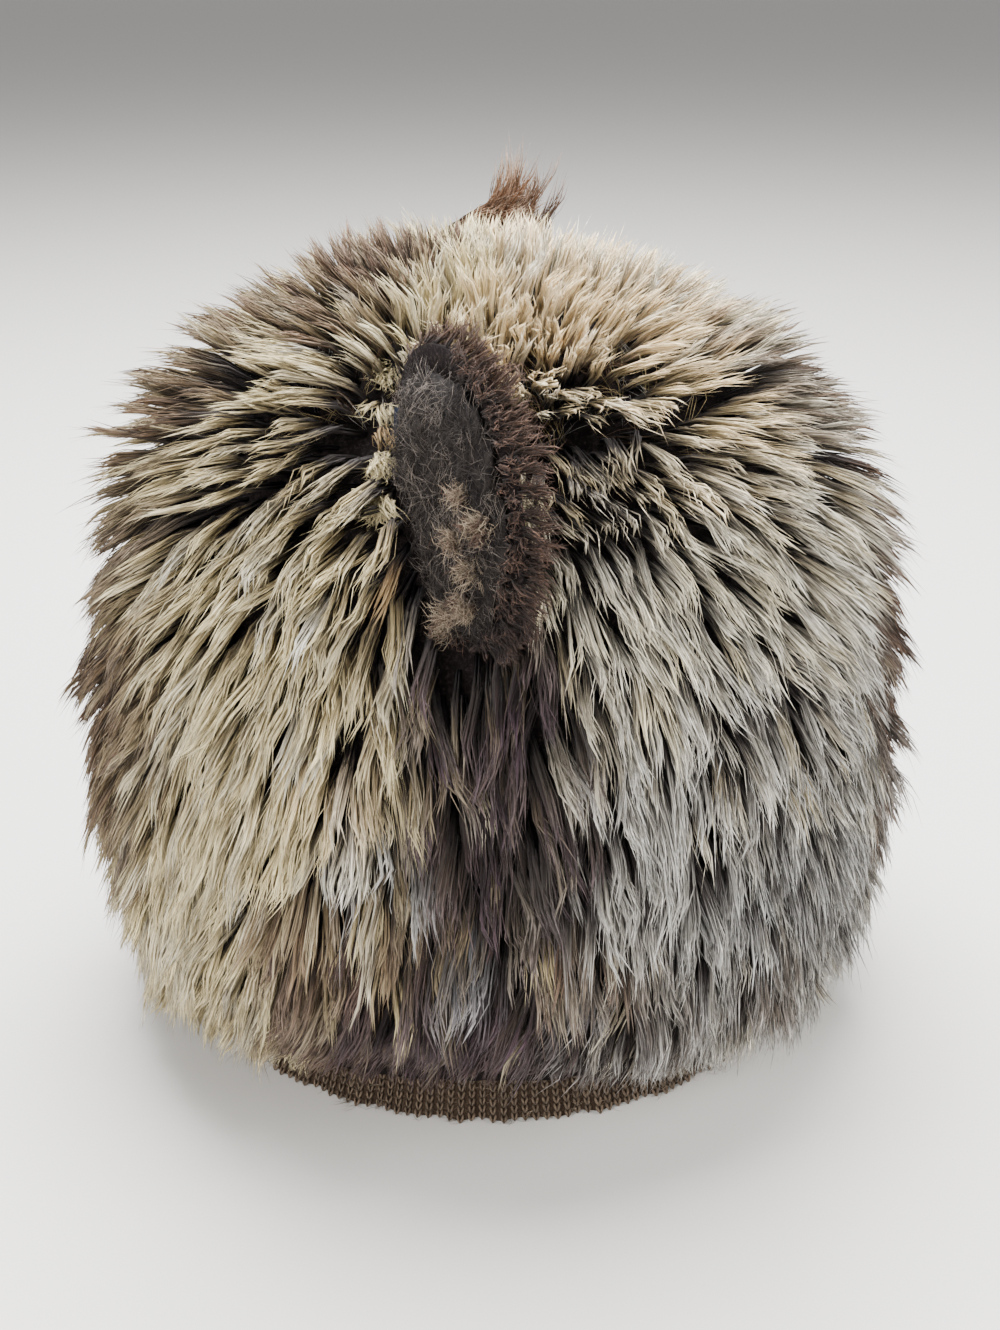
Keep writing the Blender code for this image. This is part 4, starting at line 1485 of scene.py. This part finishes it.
def plush_roots(pad, side):
    """Short matted hairs all over the pad's front, but not on its bare crescent, with painted shade low
    down.
    """
    places, normals = pad_points(pad, side, PLUSH_COUNT[side], 101 + side)
    keep = ~bare_cloth(places, margin=BARE_MARGIN)
    places, normals = places[keep], normals[keep]
    plush = lying_hairs(places, normals, 103, (4.0, 9.0), (0.05, 0.5), (PLUSH, PLUSH_PALE), (0.64, 0.36))
    _, height = ear_coordinates(places)
    # Painted shade: lower on the pad the plush's colours are darkened.
    painted_shade = np.interp(height, PLUSH_PAINTED_SHADE, (PLUSH_PAINTED_SHADE_DARKEST, 1.0))[:, None]
    plush["coat"], plush["frost"] = plush["coat"] * painted_shade, plush["frost"] * painted_shade
    return plush


def tuft_roots(pad, side):
    """Hairs that stand up in the round spots of the tufts."""
    places, normals = pad_points(pad, side, TUFT_PLACES * PLUSH_COUNT[side], 107 + side)
    outward, height = ear_coordinates(places)
    tufted = np.zeros(len(places), bool)
    for tuft_out, tuft_height, wide in TUFTS:
        tufted |= np.hypot(outward - tuft_out, height - tuft_height) < wide
    places, normals = places[tufted], normals[tufted]
    raised = places + TUFT_RAISE * normals
    colours = (TUFT_TAN, EAR_BROWN_TIP)
    return lying_hairs(raised, normals, 105, (2.0, 4.0), (0.5, 1.3), colours, (0.75, 0.25))


for side, name in SIDES:
    pad = ear_pad(f"ear_pad_{name}", f"ear_lining_{name}", side, pad_material)
    mark_bare(pad)
    plush_piece = grow(f"ear_plush_{name}", plush_roots(pad, side), plush_curls, plush_surface)
    tuft_piece = grow(f"ear_tufts_{name}", tuft_roots(pad, side), tuft_curls, plush_surface)
    dress(f"ear_lining_{name}", "ear_plush", pad, plush_piece, tuft_piece)

# %% [markdown]
# ## Stray hairs in the partings
# Where the fur parts beside the ears, single pale hairs cross the dark gap. They are the
# same thin curls as the plush's, only longer, and lie on the skin near the seam.

# %% Stray hairs
# How many there are, how far round from each ear in degrees, and how far over the skin.
STRAYS = 200
STRAY_ANGLE = 52
STRAY_OFFSET = 4.0
dice = np.random.default_rng(131)
stray_angle = np.radians(dice.uniform(-STRAY_ANGLE, STRAY_ANGLE, STRAYS))
stray_angle = np.where(dice.uniform(0, 1, STRAYS) < 0.5, stray_angle, math.pi - stray_angle)
stray_along = SEAM + dice.normal(2, 9, STRAYS)
stray_places = skin(stray_angle, stray_along, STRAY_OFFSET)
stray_out, _, _ = skin_frame(stray_angle, stray_along)
stray_colours = (CREAM, BROWN, SILVER)
strays = lying_hairs(stray_places, stray_out, 133, (8.0, 16.0), (0.3, 1.0), stray_colours, (0.4, 0.3, 0.3))
dress("top_fur", "brindled_fur", grow("stray_hairs", clear_ears(strays), plush_curls, plush_surface))

# %% [markdown]
# ## Fur on the back of the ears
# The ear's back and rim carry shaggy brown fur, shorter and thinner in the lock than the
# crown's. It points away from the ear's middle and backwards, and stands up at the tip.

# %% Where the ears' fur stands
ear_locks = template_set(
    "ear lock",
    8,
    lock_template,
    50,
    wisps=3,
    half_width=0.75,
    half_depth=0.6,
    wisp_radius=0.30,
    stray=0.8,
    hairs=7,
    hair_radii=(0.18, 0.07),
    loose=1.6,
)


# Columns: share of the way to the rim, locks round it, edge and middle of the face, forward lean, length.
EAR_FUR_RINGS = (
    (0.20, 9, -2.0, -3.0, -1.0, 11.0),
    (0.36, 15, -2.0, -3.0, -1.0, 11.0),
    (0.52, 22, -2.0, -3.0, -0.9, 12.0),
    (0.68, 30, -2.0, -3.0, -0.8, 11.0),
    (0.82, 38, -2.0, -3.0, -0.7, 10.0),
    (0.94, 60, -2.0, -3.0, -0.6, 9.0),
    (1.00, 104, -1.0, -1.0, -0.40, 6.8),
    (0.985, 80, 1.5, 4.0, -0.20, 5.5),
    (0.94, 66, 2.0, 4.4, 0.05, 4.5),
)
# How far the fur is swept back, and how much longer it is on top, on the left ear and on the right.
EAR_SWEPT_BACK = {1: 0.2, -1: 1.0}
EAR_TOP_LONGER = {1: 2.0, -1: 14.0}
# Round the front of the rim the fur starts past the top, counted in steps of the rim.
FRONT_FUR_FROM = 14
# Along the root no fur grows near the edge, nor lower than this.
LOWEST_EAR_FUR = EAR_ROOT_FOOT + 9
# The right ear's tip carries a long upright tuft: how many locks, over which steps of the
# rim, which way they point, how long they are, and how they bow out on the way.
TIP_TUFT = {1: 0, -1: 36}
TIP_TUFT_STEPS = (11.0, 22.0)
TIP_TUFT_WAY = np.array([-0.1, 0.6, 1.0])
TIP_TUFT_LENGTH = (22.0, 37.0)
TIP_TUFT_BOW = (0, 1.6, -0.6)
# The highest tips end at this height, some a little lower.
TALLEST = 255.0
TALLEST_SHAKE = 4.0
EAR_SAG = 0.08


def ear_lock_rows(side, dice):
    """Of each lock: its place, its way, its length, how orange its tip is and how far it bows."""
    rows = []
    heart = ear_place(*EAR_HEART, 0.0)
    for out, count, edge, middle, forward, ring_length in EAR_FUR_RINGS:
        for k in range(count):
            step = (k + dice.uniform(0.1, 0.9)) / count * LOOP_STEPS
            on_front = middle > 0
            if step > RIM_STEPS + 1 and out > 0.85 or on_front and step < FRONT_FUR_FROM:
                continue
            share = min(1.0, max(0.1, out + dice.uniform(-0.06, 0.06)))
            place = ear_surface(share, step, edge, middle)
            if place[2] < LOWEST_EAR_FUR:
                continue
            outward = unit(place - heart)
            high = min(1.0, max(0.0, (place[2] - 205.0) / 27.0))
            way = outward * (0.35 + 0.6 * out) + EAR_NORMAL * forward
            way = way + np.array([0.0, EAR_SWEPT_BACK[side] + 0.3 * high, 0.0])
            way = unit(way + dice.normal(0, 0.2, 3))
            longer = EAR_TOP_LONGER[side] * high * (0.4 if on_front else 1.0)
            length = (ring_length + longer) * dice.uniform(0.75, 1.2)
            rows.append((place, way, length, 0.0 if on_front else min(1.0, -1.6 * forward), 0.0))
    for _ in range(TIP_TUFT[side]):
        step = dice.uniform(*TIP_TUFT_STEPS)
        place = ear_surface(dice.uniform(0.86, 1.0), step, -2.0, -3.0)
        way = unit(TIP_TUFT_WAY + dice.normal(0, 0.16, 3))
        rows.append((place, way, dice.uniform(*TIP_TUFT_LENGTH), 0.8, 1.0))
    return [np.array(column) for column in zip(*rows)]


# %% Growing the ears' fur
def ear_fur_roots(side, seed):
    """Roots on the back face, round the rim and on the outer edge of the front face of an ear."""
    dice = np.random.default_rng(seed)
    places, ways, lengths, orange, bowed = ear_lock_rows(side, dice)
    n = len(places)
    tip = ways * lengths[:, None]
    roof = TALLEST - TALLEST_SHAKE * dice.uniform(0, 1, n) ** 2 - places[:, 2]
    tip[:, 2] = np.minimum(tip[:, 2] - EAR_SAG * lengths, roof)
    bow = unit(ways - 0.4 * EAR_NORMAL + np.outer(bowed, TIP_TUFT_BOW)) * 0.45 * lengths[:, None]
    high = np.clip((places[:, 2] - 212.0) / 18.0, 0, 1)[:, None]
    high = high * orange[:, None] * (1.0 if side < 0 else 0.15)
    coat = np.array(EAR_BROWN) + high * (np.array(EAR_ORANGE) - EAR_BROWN)
    coat = coat * dice.uniform(0.6, 1.4, n)[:, None]
    low = np.clip((195.0 - places[:, 2]) / 30.0, 0, 1)[:, None]
    coat = coat + low * (np.array(EAR_DARK) - coat)
    frost = np.array(EAR_BROWN_TIP) + high * (np.array(EAR_ORANGE_TIP) - EAR_BROWN_TIP)
    frost = frost * dice.uniform(0.7, 1.3, n)[:, None]
    frost = frost + 0.7 * low * (np.array(EAR_BROWN) - frost)
    return {
        "root": mirrored(places, side),
        "bow": mirrored(bow, side),
        "tip": mirrored(tip, side),
        "side": mirrored(unit(np.cross(ways, (0.3, 0.2, 1.0))), side),
        "width": dice.uniform(0.8, 1.25, n),
        "thickness": dice.uniform(0.8, 1.2, n),
        "wave": dice.uniform(0.5, 1.8, n),
        "luck": dice.uniform(0, 1, n),
        "coat": coat,
        "frost": frost,
        "thick": np.zeros(n),
    }


EAR_FUR_ROOT = (0.02, 0.014, 0.013)
ear_fur_material = fur_surface("ear fur", EAR_FUR_ROOT, dark_until=0.1, coat_from=0.5, streak=4.0)
for side, name in SIDES:
    back = ear_back(f"ear_back_{name}", side, underfur_material)
    fur = grow(f"ear_back_fur_{name}", ear_fur_roots(side, 111), ear_locks, ear_fur_material)
    dress(f"ear_fur_{name}", "ear_fur", back, fur)

# %% [markdown]
# ## The ears' fringe
# Along the ear's root a few fuzzy cream tufts are caught in the seam. They hang over the
# edge of the pad, and one of them is ochre. They use the ear fur's thin locks.

# %% Growing the fringe
# How far in front of the crown's middle the fringe stands, its locks, and its tufts' heights.
FRINGE_FORWARD = 27.0
FRINGE_COUNT = 36
FRINGE_TUFTS = (211.0, 204.5, 200.0, 194.0, 187.0)
FRINGE_OUT = (1.0, -0.1, 0.35)
FRINGE_WAY = (0.6, -0.05, -0.35)
FRINGE_FLAT = (0.9, -0.2, 0.3)
OCHRE_HEIGHT = 200.0


def joined(first, second):
    """Two sets of roots as one."""
    return {key: np.concatenate([first[key], second[key]]) for key in first}


def ear_fringe(side, seed):
    """Short locks along the upper half of the ear's root, in a few tufts."""
    dice = np.random.default_rng(seed)
    n = FRINGE_COUNT
    height = dice.choice(FRINGE_TUFTS, n) + dice.normal(0, 0.8, n)
    radius = np.interp(height_along(height), ALONG, LINE[:, 0])
    sideways = -FRINGE_FORWARD + dice.normal(0, 1.3, n)
    root = skin(np.arcsin(sideways / (OVAL[1] * radius)), height_along(height), 5.0)
    # The lowest tuft is the longest.
    length = dice.uniform(5.0, 8.5, n) + 5.0 * np.clip((194.0 - height) / 10.0, 0, 1)
    way = unit(np.array(FRINGE_WAY) + dice.normal(0, 0.22, (n, 3)))
    outwards = unit(np.tile(FRINGE_OUT, (n, 1)))
    ochre = np.exp(-(((height - OCHRE_HEIGHT) / 2.0) ** 2))[:, None]
    bright = dice.uniform(0.8, 1.1, n)[:, None]
    return {
        "root": mirrored(root, side),
        "bow": mirrored(outwards * (0.5 * length[:, None]), side),
        "tip": mirrored(way * length[:, None], side),
        "side": mirrored(unit(np.cross(way, FRINGE_FLAT)), side),
        "width": dice.uniform(1.2, 2.0, n),
        "thickness": dice.uniform(1.2, 2.0, n),
        "wave": dice.uniform(0.3, 1.0, n),
        "luck": dice.uniform(0, 1, n),
        "coat": bright * (np.array(CREAM) + ochre * (np.array(OCHRE) - CREAM)),
        "frost": bright * (np.array(CREAM_TIP) + 0.8 * ochre * (np.array(OCHRE) - CREAM_TIP)),
        "thick": np.full(n, 0.35),
    }


both_fringes = joined(ear_fringe(1, 75), ear_fringe(-1, 76))
dress("top_fur", "brindled_fur", grow("ear_fringes", both_fringes, ear_locks, fur_material))

# %% [markdown]
# ## The knit band
# Under the fur a rib knit shows as upright columns of stitches. Each stitch of a raised
# column is a small V, laid by the same node tree as the locks, on a plain ring that stands
# for the sunken columns, painted darker than the yarn as their shade. The yarn is fuzzy, so short hairs lie
# over it.

# %% The ring behind the stitches
BAND_TOP = 40.0
BAND_RADIUS = 86.0
# The band flares this much at its lower edge, from this height down.
BAND_FLARE = 5.2
BAND_FLARE_TOP = 14.0
BAND_STEPS = 288
# The ring's section, up its outer side and down its inner side. Columns: height, outside the face.
BAND_SECTION = (
    (0.5, -1.1),
    (1.2, -0.7),
    (5.0, -0.6),
    (10.0, -0.6),
    (14.0, -0.6),
    (26.0, -0.7),
    (BAND_TOP, -0.8),
    (BAND_TOP, -3.4),
    (20.0, -3.4),
    (1.2, -3.3),
    (0.5, -2.8),
)


def band_place(angle, height, out):
    """A place this far outside the band's face, which flares and waves a little towards its edge."""
    low = np.clip(1 - height / BAND_FLARE_TOP, 0, 1)
    waves = 0.7 * np.sin(angle * 34 + 2.0 * np.sin(angle * 5)) + 0.5 * np.sin(angle * 57 + 1.0)
    radius = BAND_RADIUS + out + BAND_FLARE * low**1.6 + waves * low
    x = OVAL[0] * radius * np.cos(angle)
    y = OVAL[1] * radius * np.sin(angle)
    return np.stack([x, y, height + 0 * angle], -1)


def band_ring(name, material):
    """The plain closed ring behind the stitches."""
    count = BAND_STEPS
    turn = np.arange(count) / count * 2 * math.pi
    verts = np.vstack([band_place(turn, np.full(count, height), out) for height, out in BAND_SECTION])
    rings = len(BAND_SECTION)
    faces = []
    for ring in range(rings):
        for k in range(count):
            a, b = ring * count, (ring + 1) % rings * count
            faces.append((a + k, a + (k + 1) % count, b + (k + 1) % count, b + k))
    return closed_piece(name, verts, faces, material)


# The sunken columns are the same yarn as the stitches: their darker colour is painted shade between the
# raised ribs.
rib_painted_shade_material = dark_pile("sunken ribs", (0.045, 0.031, 0.022), (0.12, 0.085, 0.06), scale=1500.0)
band = band_ring("knit_ring", rib_painted_shade_material)

# %% Stitches
WALES = 186
COURSES = 8
COURSE_HEIGHT = 2.1
FIRST_COURSE = 0.55
# Away from the ears the fur hides the upper courses. Beyond this angle only the lowest are knitted.
ALL_COURSES_ANGLE = 48.0
HIDDEN_FROM = 4
YARN = (0.20, 0.145, 0.10)
YARN_PALE = (0.42, 0.33, 0.24)
# One leg of a stitch, as (sideways, thickness, along), and its radius at each place but the last.
LEG = ((0.12, 0.1, -0.15), (0.45, -0.3, 0.25), (0.72, -0.35, 0.7), (0.7, 0.1, 1.2))
LEG_RADII = (0.30, 0.50, 0.46)


def stitch_template(name):
    """Two leaning legs of yarn that meet at the foot, bulging outwards."""
    legs = [[(x * lean, y, t) for x, y, t in LEG] for lean in (1, -1)]
    return template(name, [tube(leg, LEG_RADII, 3, 1.0, 0.5) for leg in legs])


stitches = bpy.data.collections.new("stitch")
stitches.objects.link(stitch_template("stitch_0"))
dice = np.random.default_rng(121)
wale, course = (grid.ravel() for grid in np.meshgrid(np.arange(WALES), np.arange(COURSES)))
turn = wale / WALES * 2 * math.pi
foot = band_place(turn, course * COURSE_HEIGHT + FIRST_COURSE, 0.0)
head = band_place(turn, (course + 1) * COURSE_HEIGHT + FIRST_COURSE, 0.0)
shown = (np.abs(degrees_round(foot)) < ALL_COURSES_ANGLE) | (course < HIDDEN_FROM)
turn, foot, head = turn[shown], foot[shown], head[shown]
n = len(turn)
yarn_tone = np.array(YARN) * dice.uniform(0.8, 1.2, n)[:, None]
stitch_roots = {
    "root": foot,
    "bow": (head - foot) / 2,
    "tip": head - foot,
    "side": unit(np.stack([-OVAL[0] * np.sin(turn), OVAL[1] * np.cos(turn), 0 * turn], -1)),
    "width": dice.uniform(0.92, 1.12, n),
    "thickness": dice.uniform(0.9, 1.3, n),
    "wave": 0.0 * turn,
    "luck": dice.uniform(0, 1, n),
    "coat": yarn_tone,
    "frost": yarn_tone,
    "thick": 0.0 * turn,
}
YARN_ROOT = (0.05, 0.036, 0.026)
yarn_material = fur_surface("fuzzy yarn", YARN_ROOT, dark_until=-0.5, coat_from=0.2, streak=3.0)
stitch_piece = grow("knit_stitches", stitch_roots, stitches, yarn_material)

# %% Fuzz on the yarn
# How many bundles, from which height, and how far up they reach. Most are low on the band.
FUZZ_COUNT = 540
FUZZ_FROM = 0.9
FUZZ_REACH = 15.0
angle = dice.uniform(0, 2 * math.pi, FUZZ_COUNT)
level = FUZZ_REACH * dice.uniform(0, 1, FUZZ_COUNT) ** 2.0 + FUZZ_FROM
places = band_place(angle, level, 0.3)
outward = unit(np.stack([np.cos(angle) / OVAL[0], np.sin(angle) / OVAL[1], 0 * angle], -1))
fuzz = lying_hairs(places, outward, 123, (2.5, 5.0), (0.15, 0.6), (YARN, YARN_PALE), (0.6, 0.4))
# No hair dips under the floor.
fuzz["tip"][:, 2] = np.maximum(fuzz["tip"][:, 2], FLOOR_GAP - places[:, 2])
fuzz["bow"][:, 2] = np.maximum(fuzz["bow"][:, 2], 0.5 * (FLOOR_GAP - places[:, 2]))
fuzz["width"] *= 0.6
fuzz_piece = grow("knit_fuzz", fuzz, plush_curls, yarn_material)
dress("knit_band", "rib_knit", band, stitch_piece, fuzz_piece)

# %% [markdown]
# ## Floor and light
# The hat stands on a plain pale floor, so that nothing draws the eye from its fur. One
# large soft light hangs above it and a little beyond it, and two weaker ones stand for the
# rest of a room. A pale world fills the shadows, so that the dark fur keeps some detail.

# %% Floor and light
FLOOR_COLOUR = (0.72, 0.70, 0.67)
FLOOR_SIZE = 60.0
WORLD_COLOUR = (0.82, 0.82, 0.83)
WORLD_STRENGTH = 0.50
HAT_MIDDLE = (0, 0, 0.12)
# Columns: name, place, width and height in metres, watts, colour.
LIGHTS = (
    ("window above", (-0.30, -0.05, 1.15), (0.9, 0.8), 74.0, (0.98, 0.99, 1.0)),
    ("room in front", (1.3, -0.5, 0.75), (1.0, 0.9), 29.0, (1.0, 0.98, 0.95)),
    ("room behind right", (0.45, 1.2, 0.8), (0.8, 0.8), 22.0, (1.0, 0.98, 0.95)),
)

floor_material, _, floor_shader = principled("pale floor", 0.6)
floor_shader.inputs["Base Color"].default_value = (*FLOOR_COLOUR, 1)
bpy.ops.mesh.primitive_plane_add(size=FLOOR_SIZE, location=(0, 0, 0))
floor = bpy.context.object
floor.name = "floor"
floor.data.materials.append(floor_material)
floor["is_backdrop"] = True


def area_light(name, location, size, power, colour):
    """A soft rectangle of light that faces the hat's middle."""
    light = bpy.data.lights.new(name, "AREA")
    light.shape = "RECTANGLE"
    light.size, light.size_y = size
    light.energy = power
    light.color = colour
    made = bpy.data.objects.new(name, light)
    made.location = location
    made.rotation_euler = (Vector(HAT_MIDDLE) - Vector(location)).to_track_quat("-Z", "Y").to_euler()
    bpy.context.scene.collection.objects.link(made)
    made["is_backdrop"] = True


for light_row in LIGHTS:
    area_light(*light_row)
world = bpy.data.worlds.new("room")
world.use_nodes = True
background = world.node_tree.nodes["Background"]
background.inputs["Color"].default_value = (*WORLD_COLOUR, 1)
background.inputs["Strength"].default_value = WORLD_STRENGTH
bpy.context.scene.world = world
print(f"{len(LIGHTS)} lights of {sum(row[3] for row in LIGHTS):.0f} W in all")

# %% [markdown]
# ## The camera
# The photograph looks down on the hat's left side from close by, so the top looks large
# and the band's edge curves. The camera stands at that angle and distance.

# %% The camera
# How far the camera looks down, how far it stands from its aim, and the aim, in metres.
PITCH = math.radians(25.0)
DISTANCE = 0.533
AIM = Vector((0.0, 0.0, 0.110))
# The image's size, the column of the hat's middle and the lens, in the photograph's pixels.
IMAGE = (1000, 1330)
MIDDLE_COLUMN = 493
FOCAL_PIXELS = 1700.0
SENSOR = 36.0
camera_data = bpy.data.cameras.new("camera")
camera_data.sensor_fit = "VERTICAL"
camera_data.sensor_height = SENSOR
camera_data.sensor_width = SENSOR
camera_data.lens = FOCAL_PIXELS / IMAGE[1] * SENSOR
camera_data.shift_x = (IMAGE[0] / 2 - MIDDLE_COLUMN) / IMAGE[1]
camera_data.clip_start = 0.01
camera_data.dof.use_dof = False
camera = bpy.data.objects.new("camera", camera_data)
away = Vector((math.cos(PITCH), 0.0, math.sin(PITCH)))
camera.location = AIM + away * DISTANCE
camera.rotation_euler = (-away).to_track_quat("-Z", "Y").to_euler()
bpy.context.scene.collection.objects.link(camera)
bpy.context.scene.camera = camera
print(f"camera {DISTANCE} m away, {math.degrees(PITCH):.0f} degrees down, lens {camera_data.lens:.0f} mm")

# %% [markdown]
# ## Triangles
# The triangles of every shown piece are counted and printed, in all and for the largest piece.

# %% Triangles and the end
totals = {}
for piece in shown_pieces():
    if piece.type == "MESH":
        totals[piece.name] = sum(len(p.vertices) - 2 for p in piece.data.polygons)
print("triangles:", sum(totals.values()), "in all,", max(totals.values()), "in the largest piece")
